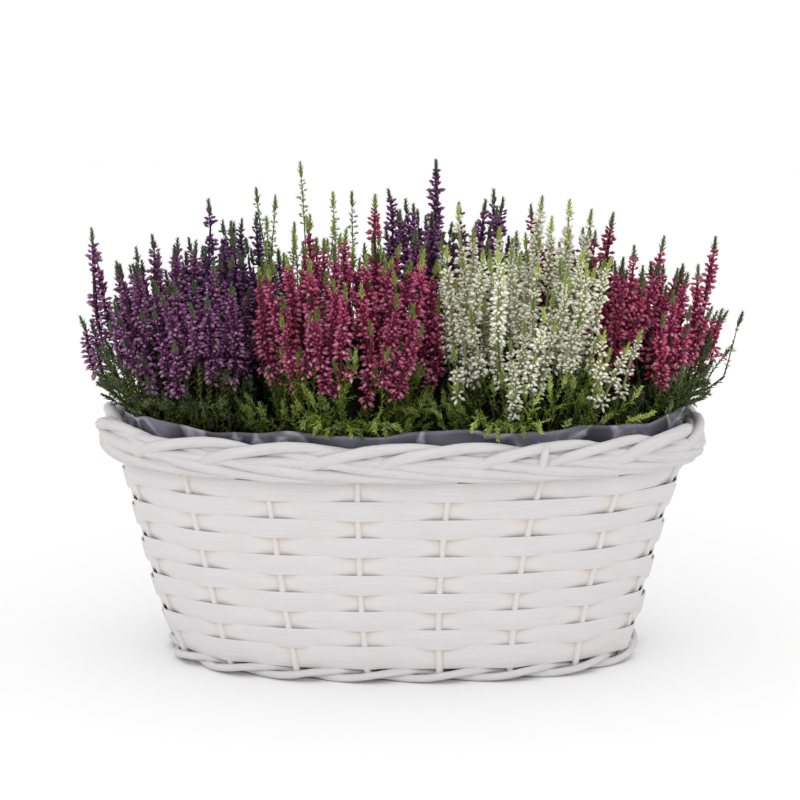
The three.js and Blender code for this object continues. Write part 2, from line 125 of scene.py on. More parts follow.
def plywood_finish():
    finish, tree, shader = new_finish("plywood", roughness=0.75, specular=0.3)
    place = put(tree, "ShaderNodeTexCoord", output="Object")
    stretched = put(tree, "ShaderNodeMapping", {"Vector": place, "Scale": PLYWOOD_GRAIN})
    grain = put(tree, "ShaderNodeTexNoise", {"Vector": stretched, "Scale": 1, "Detail": 4})
    colour = blended(grain, linear(150, 122, 86), linear(206, 182, 142))
    feed(shader, {"Base Color": colour, "Normal": bumped(grain, 0.0004, 0.5)})
    return finish


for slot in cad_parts["base_board"].material_slots:
    slot.material = plywood_finish()


# ---- Foot -----------------------------------------------------------------------------------
# Two peeled willow rods run round the bottom of the wall, one in front of each stake and the
# other behind it, and cross between the stakes. They hold the stakes' ends and stand on the ground.

STAKES = 18
OVAL_POWER = 2.5
WALL_HEIGHTS = [0, 15, 30, 52.8, 108, 140, 154, 200]
WALL_HALF_WIDTHS = [168, 172, 177, 182.5, 196, 205, 209, 221]
WALL_HALF_DEPTHS = [105, 107.1, 109.3, 112.5, 123, 131, 134.5, 146]
WALL_SHIFTS = [0, -1, -2, -3, -2.5, -1, 0, 0]
ARC_STEPS = 1440
MIDDLE_HEIGHT = 75

FOOT_ROD_RADIUS = 2.7
FOOT_SIDE_OFFSET = 4.9
FOOT_LIFT = 2.4
FOOT_MIDDLE = 5.4
FOOT_STEPS = 8
KNOTS_PER_METRE = 90
KNOT_HEIGHT = 0.0016

WORN_PAINT = linear(211, 205, 201)
# A lighter paint, painted fill light for the recesses behind the stakes and for the stakes.
PAINTED_FILL_LIGHT = linear(222, 219, 217)
# Tan, for bare wood and for painted shade in the windows behind the stakes.
BARE_WOOD_AND_SHADE = linear(211, 197, 184)
LANE_STEP = 7.3


def oval_point(angle, z):
    """The wall's middle surface in plan, and the direction that points straight out of it."""
    half = np.array([np.interp(z, WALL_HEIGHTS, halves) for halves in (WALL_HALF_WIDTHS, WALL_HALF_DEPTHS)])
    ray = np.array([math.cos(angle), math.sin(angle)])
    point = ray * np.sum(np.abs(ray / half) ** OVAL_POWER) ** (-1 / OVAL_POWER)
    out = np.sign(point) * np.abs(point / half) ** (OVAL_POWER - 1) / half
    return point + (np.interp(z, WALL_HEIGHTS, WALL_SHIFTS), 0), out / np.linalg.norm(out)


oval_angles = -math.pi / 2 + 2 * math.pi * np.arange(ARC_STEPS + 1) / ARC_STEPS
oval_outline = np.array([oval_point(angle, MIDDLE_HEIGHT)[0] for angle in oval_angles])
oval_lengths = np.concatenate([[0], np.cumsum(np.linalg.norm(np.diff(oval_outline, axis=0), axis=1))])


def wall_point(u, z, out=0.0):
    """A point of the wall: u counts stake spacings from the middle of the front towards the right."""
    angle = np.interp((u / STAKES % 1) * oval_lengths[-1], oval_lengths, oval_angles)
    point, outward = oval_point(angle, z)
    return (*(point + outward * out), z)


def new_mesh(name, points, edges=(), faces=()):
    """A mesh from points in millimetres."""
    mesh = bpy.data.meshes.new(name)
    mesh.from_pydata((np.array(points) / 1000).tolist(), edges, faces)
    return mesh


def give_numbers(mesh, **numbers):
    """Keeps numbers at a mesh's points, each under its name, for a tree or a finish to read."""
    for name, values in numbers.items():
        mesh.attributes.new(name, "FLOAT", "POINT").data.foreach_set("value", values)


def lay_paths(name, paths, numbers, closed=False):
    """An object whose edges follow paths given in millimetres, with named numbers kept at their points."""
    edges = []
    start = 0
    for path in paths:
        last = len(path) if closed else len(path) - 1
        edges += [(start + i, start + (i + 1) % len(path)) for i in range(last)]
        start += len(path)
    mesh = new_mesh(name, [point for path in paths for point in path], edges)
    give_numbers(mesh, **{number: [v for path in values for v in path] for number, values in numbers.items()})
    return new_object(name, mesh)


def start_tree(name, **inputs):
    """A geometry tree that takes a shape, a finish and other named inputs, and what it is given."""
    tree = bpy.data.node_groups.new(name, "GeometryNodeTree")
    tree.interface.new_socket("Geometry", in_out="OUTPUT", socket_type="NodeSocketGeometry")
    for label, kind in {"Geometry": "Geometry", **inputs, "Finish": "Material"}.items():
        tree.interface.new_socket(label.replace("_", " "), in_out="INPUT", socket_type="NodeSocket" + kind)
    return tree, tree.nodes.new("NodeGroupInput").outputs


def end_tree(tree, shape, given):
    """Ends a tree: its instances made real, shaded smooth and given their finish."""
    real = put(tree, "GeometryNodeRealizeInstances", {"Geometry": shape})
    smooth = put(tree, "GeometryNodeSetShadeSmooth", {"Geometry": real})
    finished = put(tree, "GeometryNodeSetMaterial", {"Geometry": smooth, "Material": given["Finish"]})
    feed(tree.nodes.new("NodeGroupOutput"), {"Geometry": finished})
    return tree


def kept_number(tree, name):
    """The number that a path keeps at its points under a name."""
    return put(tree, "GeometryNodeInputNamedAttribute", {"Name": name})


def keep_number(shape, name, value):
    """Keeps a number at a shape's points under a name, for its finish or a later node to read."""
    return put(shape.id_data, "GeometryNodeStoreNamedAttribute",
               {"Geometry": shape, "Name": name, "Value": value})


def sum_up(operation, *values):
    """The result of one sum on numbers, of which one at least comes from a node."""
    tree = next(value.id_data for value in values if isinstance(value, bpy.types.NodeSocket))
    return put(tree, "ShaderNodeMath", dict(enumerate(values)), operation=operation)


def times(product, *others):
    """The product of numbers, or of yes-or-no answers, which are 1 or 0."""
    for other in others:
        product = sum_up("MULTIPLY", product, other)
    return product


def ranged(value, low, high, start=0.0, end=1.0):
    """A number that goes from start to end, and no further, as another goes from low to high."""
    bounds = {"From Min": low, "From Max": high, "To Min": start, "To Max": end}
    return put(value.id_data, "ShaderNodeMapRange", {"Value": value, **bounds})


def scaled(vector, size):
    return put(vector.id_data, "ShaderNodeVectorMath", {0: vector, "Scale": size}, operation="SCALE")


def smooth_paths(given, spacing):
    """The paths that a tree is given, as smooth curves with a point at every spacing."""
    tree = given["Geometry"].id_data
    path = put(tree, "GeometryNodeMeshToCurve", {"Mesh": given["Geometry"]})
    bent = put(tree, "GeometryNodeCurveSplineType", {"Curve": path}, spline_type="CATMULL_ROM")
    return put(tree, "GeometryNodeResampleCurve", {"Curve": bent, "Length": spacing}, mode="LENGTH")


def made_by(tree, source, name, **sizes):
    """The plain mesh that a tree makes along a source's paths, as a piece of the planter."""
    modifier = source.modifiers.new(name, "NODES")
    modifier.node_group = tree
    for item in tree.interface.items_tree:
        label = item.name.replace(" ", "_")
        if item.in_out == "INPUT" and label in sizes:
            modifier[item.identifier] = sizes[label]
    source.update_tag()
    evaluated = source.evaluated_get(bpy.context.evaluated_depsgraph_get())
    piece = new_object(name, bpy.data.meshes.new_from_object(evaluated))
    source.modifiers.remove(modifier)
    return piece


def laid(tree, name, paths, numbers, closed=False, **sizes):
    """A piece of wickerwork, made by a tree along paths that keep named numbers at their points."""
    source = lay_paths(name + "_paths", paths, numbers, closed)
    piece = made_by(tree, source, name, **sizes)
    bpy.data.objects.remove(source)
    return piece


def rod_tree():
    """Round willow rods along paths, each as thick as its path's girth says, with slight knots."""
    tree, given = start_tree("willow_rods", Radius="Float", Sides="Int", Step="Float", Seed="Float")
    along = put(tree, "GeometryNodeSplineParameter", output="Length")
    marked = keep_number(smooth_paths(given, given["Step"]), "along", along)
    ring = put(tree, "GeometryNodeCurvePrimitiveCircle", {"Resolution": given["Sides"], "Radius": 1})
    turn = put(tree, "GeometryNodeSplineParameter", output="Factor")
    girth = times(kept_number(tree, "girth"), given["Radius"])
    profile = keep_number(ring, "across", turn)
    swept = put(tree, "GeometryNodeCurveToMesh",
                {"Curve": marked, "Profile Curve": profile, "Scale": girth, "Fill Caps": True})
    knots = put(tree, "ShaderNodeTexNoise", {"Scale": KNOTS_PER_METRE, "Detail": 1, "W": given["Seed"]},
                noise_dimensions="4D")
    swell = times(sum_up("SUBTRACT", knots, 0.5), KNOT_HEIGHT)
    push = scaled(put(tree, "GeometryNodeInputNormal"), swell)
    knotted = put(tree, "GeometryNodeSetPosition", {"Geometry": swept, "Offset": push})
    return end_tree(tree, knotted, given)


def kept_value(tree, name):
    """The number that a piece keeps at its points under a name, as its finish reads it."""
    return put(tree, "ShaderNodeAttribute", output="Fac", attribute_name=name)


def whitewash(name, along_scale, across_scale, low, high):
    """Thin white paint brushed over wood: brush streaks along the grain and worn patches. Where a strip lies
    behind a stake the paint is painted lighter, a painted fill light against the shade there, and tan at the
    strip's low edge and right behind the stake, partly bare wood and partly painted shade.
    """
    finish, tree, shader = new_finish(name, roughness=0.62, specular=0.35)
    across = kept_value(tree, "across")
    recess = kept_value(tree, "recess")
    place = put(tree, "ShaderNodeCombineXYZ", {
        "X": times(kept_value(tree, "along"), along_scale),
        "Y": times(across, across_scale),
        "Z": times(kept_value(tree, "lane"), LANE_STEP)})
    grain = put(tree, "ShaderNodeTexNoise", {"Vector": place, "Scale": 1, "Detail": 5, "Roughness": 0.6})
    paint = blended(ranged(grain, 0.35, 0.7), linear(*low), linear(*high))
    worn = blended(times(ranged(mottled(tree, 38, 2), 0.5, 0.72), 0.4), paint, WORN_PAINT)
    # Lighter paint where a strip lies behind a stake, and on the stakes: painted fill light against the shade
    # there.
    thick = blended(recess, worn, PAINTED_FILL_LIGHT)
    # Tan at the low edge of each window and right behind the stakes: partly bare wood, partly painted shade.
    low_edge = ranged(across, 0.0005, -0.0065)
    bare_and_shaded_edge = times(recess, low_edge, ranged(grain, 0.3, 0.6))
    tan_and_shade_beside = times(sum_up("POWER", recess, 3.0), 0.3)
    colour = blended(sum_up("ADD", bare_and_shaded_edge, tan_and_shade_beside), thick, BARE_WOOD_AND_SHADE)
    feed(shader, {"Base Color": colour, "Normal": bumped(grain, 0.0004, 0.25)})
    return finish


def foot_path(side):
    """A foot rod's path: in front of every other stake where its side is 1, of the rest where it is -1."""
    us = np.arange(0, STAKES, 1 / FOOT_STEPS)
    out = side * FOOT_SIDE_OFFSET * np.sin(np.pi * us)
    height = FOOT_MIDDLE - side * FOOT_LIFT * np.cos(np.pi * us)
    return [wall_point(u, z, o) for u, z, o in zip(us, height, out)]


willow_rods = rod_tree()
painted_willow = whitewash("whitewashed_willow", along_scale=40, across_scale=5, low=(198, 194, 196),
                           high=(212, 209, 211))

for name, side in (("foot_rod_a", 1), ("foot_rod_b", -1)):
    path = foot_path(side)
    foot_rod = laid(willow_rods, name + "_twined", [path], {"girth": [[1] * len(path)]}, closed=True,
                    Radius=FOOT_ROD_RADIUS / 1000, Sides=10, Step=0.004, Seed=float(side),
                    Finish=painted_willow)
    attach(foot_rod, "root")
    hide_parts(name)


# ---- Stakes ---------------------------------------------------------------------------------
# Eighteen upright peeled willow rods, stuck through the foot, are what the wall is woven round.
# They lean outwards with the wall, and are whitewashed with it once it is woven.

STAKE_RADIUS = 2.6
STAKE_BOTTOM = 3.2
STAKE_TOP = 154
STAKE_TAPER = 0.0008
# The stakes take most of the recesses' lighter paint, a painted fill light, and a little of their tan.
STAKE_PAINTED_LIGHT_SHARE = 0.7
STAKE_POINTS = 9

stake_heights = np.linspace(STAKE_BOTTOM, STAKE_TOP, STAKE_POINTS)
stake_paths = [[wall_point(k + 0.5, z) for z in stake_heights] for k in range(STAKES)]
stake_numbers = {
    "girth": [[1.0 - STAKE_TAPER * z for z in stake_heights]] * STAKES,
    "recess": [[STAKE_PAINTED_LIGHT_SHARE] * STAKE_POINTS] * STAKES,
}
stakes = laid(willow_rods, "stakes", stake_paths, stake_numbers, Radius=STAKE_RADIUS / 1000, Sides=10,
              Step=0.008, Seed=3.0, Finish=painted_willow)
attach(stakes, "root")
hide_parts(*[f"stake_{k + 1:02d}" for k in range(STAKES)])


# ---- Woven strips ---------------------------------------------------------------------------
# Ten rows of flat shaved wood, each one strip round the whole wall, in front of one stake and
# behind the next, with the next row the other way about. The lowest is a little wider, down to
# the foot. Brushed white after weaving; behind the stakes the paint is painted lighter, as fill
# light against the shade there, with tan at the bottom of each window, painted shade over bare wood.

STRIP_ROWS = 10
STRIP_BOTTOM = 11.6
STRIP_PITCH = 13.8
STRIP_HEIGHT = 15.0
STRIP_THICKNESS = 1.0
STRIP_ROUNDING = 0.42
STRIP_FRONT = 2.4
STRIP_BACK = 0.5
STRIP_END_SWELL = 2.4
STRIP_HUMP = 3.6
STRIP_TILT = math.radians(0.4)
STRIP_OVERLAP = 0.03
LOWEST_STRIP_GIRTH = 1.18
STRIP_STEPS = 16


def strip_tree():
    """A flat strip with rounded edges along each path, its edges slightly uneven as shaved wood is."""
    tree, given = start_tree("shaved_strips", Height="Float", Thickness="Float", Unevenness="Float",
                             Step="Float")
    paths = smooth_paths(given, given["Step"])
    upright = put(tree, "GeometryNodeSetCurveNormal", {"Curve": paths}, mode="Z_UP")
    leaning = put(tree, "GeometryNodeSetCurveTilt", {"Curve": upright, "Tilt": kept_number(tree, "lean")})
    along = put(tree, "GeometryNodeSplineParameter", output="Length")
    flat = put(tree, "GeometryNodeCurvePrimitiveQuadrilateral",
               {"Width": given["Thickness"], "Height": given["Height"]})
    rounding = times(given["Thickness"], STRIP_ROUNDING)
    rounded = put(tree, "GeometryNodeFilletCurve", {"Curve": flat, "Radius": rounding, "Count": 2},
                  mode="POLY")
    level = put(tree, "ShaderNodeSeparateXYZ", {0: put(tree, "GeometryNodeInputPosition")}, output="Y")
    swept = put(tree, "GeometryNodeCurveToMesh", {
        "Curve": keep_number(leaning, "along", along),
        "Profile Curve": keep_number(rounded, "across", level),
        "Scale": kept_number(tree, "girth")})
    wander = put(tree, "ShaderNodeTexNoise", {"Scale": 16, "Detail": 2, "W": kept_number(tree, "lane")},
                 noise_dimensions="4D")
    shift = times(sum_up("SUBTRACT", wander, 0.5), given["Unevenness"])
    warped = put(tree, "GeometryNodeSetPosition",
                 {"Geometry": swept, "Offset": put(tree, "ShaderNodeCombineXYZ", {"Z": shift})})
    return end_tree(tree, warped, given)


def strip_side(row, u):
    """1 where the strip is in front of a stake, -1 behind one, and near 0 on the way between."""
    wave = -math.sin(math.pi * u) * (1 if row % 2 == 0 else -1)
    return math.copysign(abs(wave) ** STRIP_HUMP, wave)


def strip_point(row, u, z):
    """A point of a strip's middle line, which bulges further in front of the stakes at the tight ends."""
    side = strip_side(row, u)
    endwise = abs(wall_point(u, z, 1)[0] - wall_point(u, z)[0]) ** 4
    return wall_point(u, z, side * (STRIP_FRONT + STRIP_END_SWELL * endwise if side > 0 else STRIP_BACK))


def lean_of(u, z):
    """The angle by which the wall leans outwards, measured over the 10 mm about a height."""
    low, high = (np.array(wall_point(u, z + d)) for d in (-5, 5))
    return math.atan2(float(np.linalg.norm((high - low)[:2])), 10)


strip_us = np.arange(0, STAKES, 1 / STRIP_STEPS)
strip_middles = [STRIP_BOTTOM + (row + 0.5) * STRIP_PITCH for row in range(STRIP_ROWS)]
strip_sides = [[strip_side(row, u) for u in strip_us] for row in range(STRIP_ROWS)]
strip_widths = [LOWEST_STRIP_GIRTH] + [1] * (STRIP_ROWS - 1)

painted_strips = whitewash("whitewashed_strips", along_scale=30, across_scale=700, low=(209, 206, 208),
                           high=(216, 213, 215))
strip_paths = [[strip_point(row, u, z) for u in strip_us] for row, z in enumerate(strip_middles)]
strip_numbers = {
    "lean": [[lean_of(u, z) + STRIP_TILT for u in strip_us] for z in strip_middles],
    "lane": [[float(row)] * len(strip_us) for row in range(STRIP_ROWS)],
    # How far behind a stake the strip lies: the finish paints it lighter there as fill light, and tan as
    # shade.
    "recess": [[max(0.0, -side) for side in sides] for sides in strip_sides],
    "girth": [[width * (1 + STRIP_OVERLAP * side ** 2) for side in sides]
              for width, sides in zip(strip_widths, strip_sides)],
}
strips = laid(strip_tree(), "woven_strips", strip_paths, strip_numbers, closed=True,
              Height=STRIP_HEIGHT / 1000, Thickness=STRIP_THICKNESS / 1000, Unevenness=0.0018, Step=0.0055,
              Finish=painted_strips)
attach(strips, "root")
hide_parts(*[f"strip_{row + 1:02d}" for row in range(STRIP_ROWS)])


# ---- Rim border -----------------------------------------------------------------------------
# At the rim each stake's rods are bent down and woven into a roll: one rises over the top to the
# inside, one slants down the outside under the next. They are thicker than the stakes and cut square.

BORDER_ROD_RADIUS = 3.9
BORDER_BULGE = 1.5
BORDER_LIFT = 3
BORDER_BULGE_SPREAD = 2
BORDER_BULGE_PLACE = 0.75 * STAKES
BORDER_SWOLLEN_GIRTH = 0.22
BUTT_GIRTH = 1.08
ROD_TAPER = 0.22
ROD_START = 0.62
OVER_ROD = [(-0.1, 4, 160), (0.02, 7, 164), (0.45, 6.3, 172), (0.95, 1.6, 175.6), (1.4, -3.2, 171.5),
            (1.9, -4.4, 163.5), (2.4, -4.4, 157)]
UNDER_ROD = [(-0.35, -1, 171), (0.02, 4.4, 166.8), (0.5, 8.2, 162), (1.0, 9, 158.4), (1.5, 8.8, 155.6),
             (2.1, 7, 154), (2.6, 4.6, 154)]
ROD_GIRTHS = (0.92, 1.1)
TIE_ROD = [(-0.1, 8.5, 155), (-0.1, 10.3, 163), (-0.09, 9.2, 171.5), (-0.07, 5, 176.6), (-0.04, 0.5, 175)]
TIE_STAKE = 1
TIE_GIRTH = 0.8
THICK_ROD_STAKE = 2
THICK_ROD_GIRTH = 1.3
HAND_SHIFTS = {0: 0.1, 1: -0.1, 2: -0.3, 3: -0.4, 14: 0.4, 15: 0.3, 16: 0.38, 17: 0.16}
CORE_RODS = [(4.6, 157.8, 1.2), (5.6, 164.5, 1.15), (-0.6, 170.4, 1.15)]
CORE_STEPS = 3
CORE_SWOLLEN_GIRTH = 0.3


def swelling(u):
    """1 at the rim's left end, where the weaving starts and ends in a thicker roll, falling to 0 beyond."""
    return math.exp(-((u % STAKES - BORDER_BULGE_PLACE) ** 2) / BORDER_BULGE_SPREAD)


def lay_rod(k, stations, thick):
    """A border rod's path and girths, thickest at its cut end, from stations counted from its own stake."""
    path, girths = [], []
    for i, (step, out, z) in enumerate(stations):
        u = k + ROD_START + HAND_SHIFTS.get(k, 0) + step
        bulge = BORDER_BULGE * swelling(u) * min(max(out / 6, 0), 1)
        path.append(wall_point(u, z + BORDER_LIFT * swelling(u), out + bulge))
        taper = BUTT_GIRTH - ROD_TAPER * i / (len(stations) - 1)
        girths.append(thick * taper * (1 + BORDER_SWOLLEN_GIRTH * swelling(u)))
    return path, girths


draw = random.Random(5)
border_rods = []
for k in range(STAKES):
    for stations in (OVER_ROD, UNDER_ROD):
        thickest = stations is OVER_ROD and k == THICK_ROD_STAKE
        thick = THICK_ROD_GIRTH if thickest else draw.uniform(*ROD_GIRTHS)
        shifted = [(s + draw.uniform(-0.04, 0.04), o + draw.uniform(-0.5, 0.5), z + draw.uniform(-0.7, 0.7))
                   for s, o, z in stations]
        border_rods.append(lay_rod(k, shifted, thick))
border_rods.append(lay_rod(TIE_STAKE, TIE_ROD, TIE_GIRTH))
for out, z, thick in CORE_RODS:
    us = np.arange(0, STAKES + 0.6, 1 / CORE_STEPS)
    path = [wall_point(u, z + BORDER_LIFT * swelling(u), out + BORDER_BULGE * swelling(u)) for u in us]
    border_rods.append((path, [thick * (1 + CORE_SWOLLEN_GIRTH * swelling(u)) for u in us]))

border_paths, border_girths = zip(*border_rods)
border = laid(willow_rods, "rim_border_rods", border_paths, {"girth": border_girths},
              Radius=BORDER_ROD_RADIUS / 1000, Sides=9, Step=0.006, Seed=8.0, Finish=painted_willow)
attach(border, "root")
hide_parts("rim_border")


# ---- Liner ----------------------------------------------------------------------------------
# A sheet of dark plastic film is pressed into the basket to keep the soil's water off the willow.
# It is cut by hand a little above the rim, so its edge stands up in waves and creases.

LINER_THICKNESS = 0.5
LINER_COLUMNS = 540
LINER_RINGS = [(6.6, 8.6), (20, 7.6), (52.8, 5.6), (80, 5.4), (108, 5.5), (130, 7.2), (150, 8.3), (162, 9),
               (170, 9.4), (175, 9.7), (179, 9.8), (182, 9.9), (185, 10)]
LINER_CLEARANCE = 0.2
FREE_FROM = 140
FREE_HEIGHT = 45
EDGE_HEIGHT = 184
EDGE_WAVES = [(1.8, 11, 0), (1.5, 4, 0), (0.6, 29, 1)]
EDGE_RISE = 5
EDGE_RISE_PLACE = 3.5
EDGE_RISE_SPREAD = 0.9
CREASES = [(5, 0.7, 0.0), (13, 0.6, 2.1), (23, 0.45, 0.4), (41, 0.35, 2.9), (67, 0.28, 4.4)]
CREASE_SLANT = 0.12
CREASE_DEPTH = 0.9


def crease(u, z):
    """Pleats of the film, as sharp waves of several lengths round the rim that slant with height."""
    turn = 2 * math.pi * u / STAKES
    return sum(size * math.asin(math.sin(count * turn + phase + CREASE_SLANT * z * math.sin(3 * phase)))
               for count, size, phase in CREASES)


def liner_edge(u):
    """Height of the film's cut edge."""
    turn = 2 * math.pi * u / STAKES
    raised = EDGE_RISE * math.exp(-((u - EDGE_RISE_PLACE) ** 2) / EDGE_RISE_SPREAD)
    waves = (size * math.sin(count * turn + phase) for size, count, phase in EDGE_WAVES)
    return sum(waves, EDGE_HEIGHT + raised)


def ringed_mesh(name, rings, bottom, top=None):
    """A skin over rings of points, each joined to the next, with a middle point to close each end."""
    columns = len(rings[0])
    points = [bottom, *(point for ring in rings for point in ring)]
    last = len(points) - columns
    faces = []
    for c in range(columns):
        after = (c + 1) % columns
        faces.append((0, 1 + after, 1 + c))
        if top:
            faces.append((last + c, last + after, len(points)))
        for low in range(1, last, columns):
            high = low + columns
            faces.append((low + c, low + after, high + after, high + c))
    return new_mesh(name, points + [top] if top else points, faces=faces)


def liner_rings():
    for z, inset in LINER_RINGS:
        free = min(max((z - FREE_FROM) / FREE_HEIGHT, 0), 1)
        ring = []
        for c in range(LINER_COLUMNS):
            u = c * STAKES / LINER_COLUMNS
            rise = (liner_edge(u) - LINER_RINGS[-1][0]) * free
            out = -inset + CREASE_DEPTH * free * crease(u, z) - LINER_CLEARANCE
            ring.append(wall_point(u, z + rise, out))
        yield ring


def film_finish():
    """Dark plastic film, dusty and crinkled, with patches that are partly its own tone and partly painted
    reflection, and pale painted glints on its ridges.
    """
    finish, tree, shader = new_finish("liner_film", roughness=0.3, specular=0.6)
    crinkle_and_glint = mottled(tree, 34, 2, {"Roughness": 0.45, "Offset": 1.0}, noise_type="RIDGED_MULTIFRACTAL")
    # Darker and paler patches over the film: partly its own tone, partly painted reflection.
    film = blended(ranged(mottled(tree, 22, 2), 0.35, 0.65), linear(52, 52, 60), linear(104, 103, 117))
    # Paler on the crinkles' ridges: painted glints.
    feed(shader, {
        "Base Color": blended(ranged(crinkle_and_glint, 1.0, 1.35), film, linear(146, 146, 158)),
        "Roughness": ranged(mottled(tree, 160, 4), 0.0, 1.0, 0.22, 0.5),
        "Normal": bumped(crinkle_and_glint, 0.002, 0.9)})
    return finish


film_mesh = ringed_mesh("liner_film", list(liner_rings()), (0.0, 0.0, LINER_RINGS[0][0]))
film_mesh.shade_smooth()
film_mesh.materials.append(film_finish())
liner = new_object("liner_film", film_mesh)
film = liner.modifiers.new("film", "SOLIDIFY")
film.thickness = LINER_THICKNESS / 1000
film.offset = -1
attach(liner, "root")
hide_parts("liner")


# ---- Potting soil ---------------------------------------------------------------------------
# Dark peat fills the lined basket to a finger below the rim and is heaped slightly in the middle.
# It is loose, so its top is lumpy with crumbs and bits of fibre.

SOIL_RINGS = [(8, 10.4), (52.8, 7), (108, 7), (140, 9.6), (150, 10.8)]
SOIL_COLUMNS = 216
SOIL_TOP_SHARES = [0.97, 0.93, 0.88, 0.82, 0.76, 0.7, 0.63, 0.56, 0.49, 0.42, 0.35, 0.27, 0.19, 0.11, 0.05]
SOIL_EDGE_HEIGHT = 150
SOIL_HEAP = 9
CRUMB_SIZES = {"Min": (0.4, 0.3, 0.3), "Max": (1.5, 1.1, 0.8)}


def soil_lump(x, y):
    """Low lumps of loose peat."""
    return (1.1 * math.sin(0.11 * x + 1.3 * math.sin(0.07 * y)) * math.sin(0.13 * y + 0.4)
            + 0.7 * math.sin(0.31 * x + 0.27 * y) * math.sin(0.23 * y - 0.29 * x))


def soil_rings():
    """Rings up the film, then across the heap to its middle."""
    us = [c * STAKES / SOIL_COLUMNS for c in range(SOIL_COLUMNS)]
    rings = [[wall_point(u, z, -inset) for u in us] for z, inset in SOIL_RINGS]
    edge = rings[-1]
    for share in SOIL_TOP_SHARES:
        height = SOIL_EDGE_HEIGHT + SOIL_HEAP * (1 - share ** 2) ** 0.6
        rings.append([(x * share, y * share, height + soil_lump(x * share, y * share)) for x, y, _ in edge])
    return rings


def set_out(points, part, rotation, size, chosen=True):
    """Copies of a part at the chosen points, each with its own turn and size."""
    return put(points.id_data, "GeometryNodeInstanceOnPoints", {
        "Points": points, "Selection": chosen, "Instance": part, "Rotation": rotation, "Scale": size})


def joined(*parts):
    """Several shapes as one."""
    join = parts[0].id_data.nodes.new("GeometryNodeJoinGeometry")
    for part in parts:
        feed(join, {"Geometry": part})
    return join.outputs[0]


def crumb_tree():
    """Crumbs of peat lying on the top of the heap, with the heap itself."""
    tree, given = start_tree("peat_crumbs", Density="Float", Crumb="Float", Seed="Int")
    facing = put(tree, "ShaderNodeSeparateXYZ", {0: put(tree, "GeometryNodeInputNormal")}, output="Z")
    spots = put(tree, "GeometryNodeDistributePointsOnFaces", {
        "Mesh": given["Geometry"], "Selection": sum_up("GREATER_THAN", facing, 0.5),
        "Density": given["Density"], "Seed": given["Seed"]})
    lump = put(tree, "GeometryNodeMeshIcoSphere", {"Radius": given["Crumb"], "Subdivisions": 1})
    size = put(tree, "FunctionNodeRandomValue", CRUMB_SIZES, data_type="FLOAT_VECTOR")
    crumbs = set_out(spots, lump, spots.node.outputs["Rotation"], size)
    return end_tree(tree, joined(given["Geometry"], crumbs), given)


def peat_finish():
    finish, tree, shader = new_finish("peat", roughness=0.95, specular=0.15)
    fibre = mottled(tree, 420, 5, {"Roughness": 0.65})
    colour = blended(fibre, linear(16, 12, 9), linear(74, 56, 42))
    feed(shader, {"Base Color": colour, "Normal": bumped(fibre, 0.0015, 0.9)})
    return finish


heap = ringed_mesh("potting_soil", soil_rings(), bottom=(0, 0, SOIL_RINGS[0][0]),
                   top=(0, 0, SOIL_EDGE_HEIGHT + SOIL_HEAP))
source = new_object("soil_heap", heap)
soil = made_by(crumb_tree(), source, "potting_soil", Density=5000.0, Crumb=0.0019, Seed=4,
               Finish=peat_finish())
bpy.data.objects.remove(source)
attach(soil, "root")
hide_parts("soil")


# ---- Heathers -------------------------------------------------------------------------------
# Eight bud-blooming heathers grow from short woody stocks in the soil. Each sends up slender stems
# set with tiny scale-like leaves, and the upper part of each stem is thick with closed buds up to
# a green growing tip.

GOLDEN_ANGLE = math.pi * (3 - math.sqrt(5))
RIM_TOP = 186
RIM_HALF_WIDTH = 215
RIM_HALF_DEPTH = 138.5
RIM_CLEARANCE = 18
NEIGHBOUR_OVERLAP = 7

OUTER_DROP = 52
INNER_DROP = 12
UNEVEN_DROP = (2, 30)
PLACES = 190
SIDE_STEMS = 20
SIDE_STEMS_ABOVE = 264
SIDE_STEM_REACH = (6, 13)
SIDE_STEM_DROP = (12, 60)
SIDE_STEM_LOWEST = 240

STEM_POINTS = 9
STOCK_TOP = 148
STOCK_RADIUS = 4
BEND_SPREAD = 11
SWAY = 8

BLOOM_BOTTOM = 208
BLOOM_BOTTOM_SPREAD = (-12, 14)
BLOOM_LENGTHS = (0.064, 0.09)
LEADER_BLOOM = 0.02
FLOWERING_SPREAD = 0.6
LEAFY_SPREAD = 0.35
LEAFY_BOTTOM = 172
LEAFY_RISE = 64
LEAFY_MARGIN = 4
LEAFY_OUTREACH = 26
LEAFY_REACHES = (0.78, 1.04)
HANGING_ARCH = 44

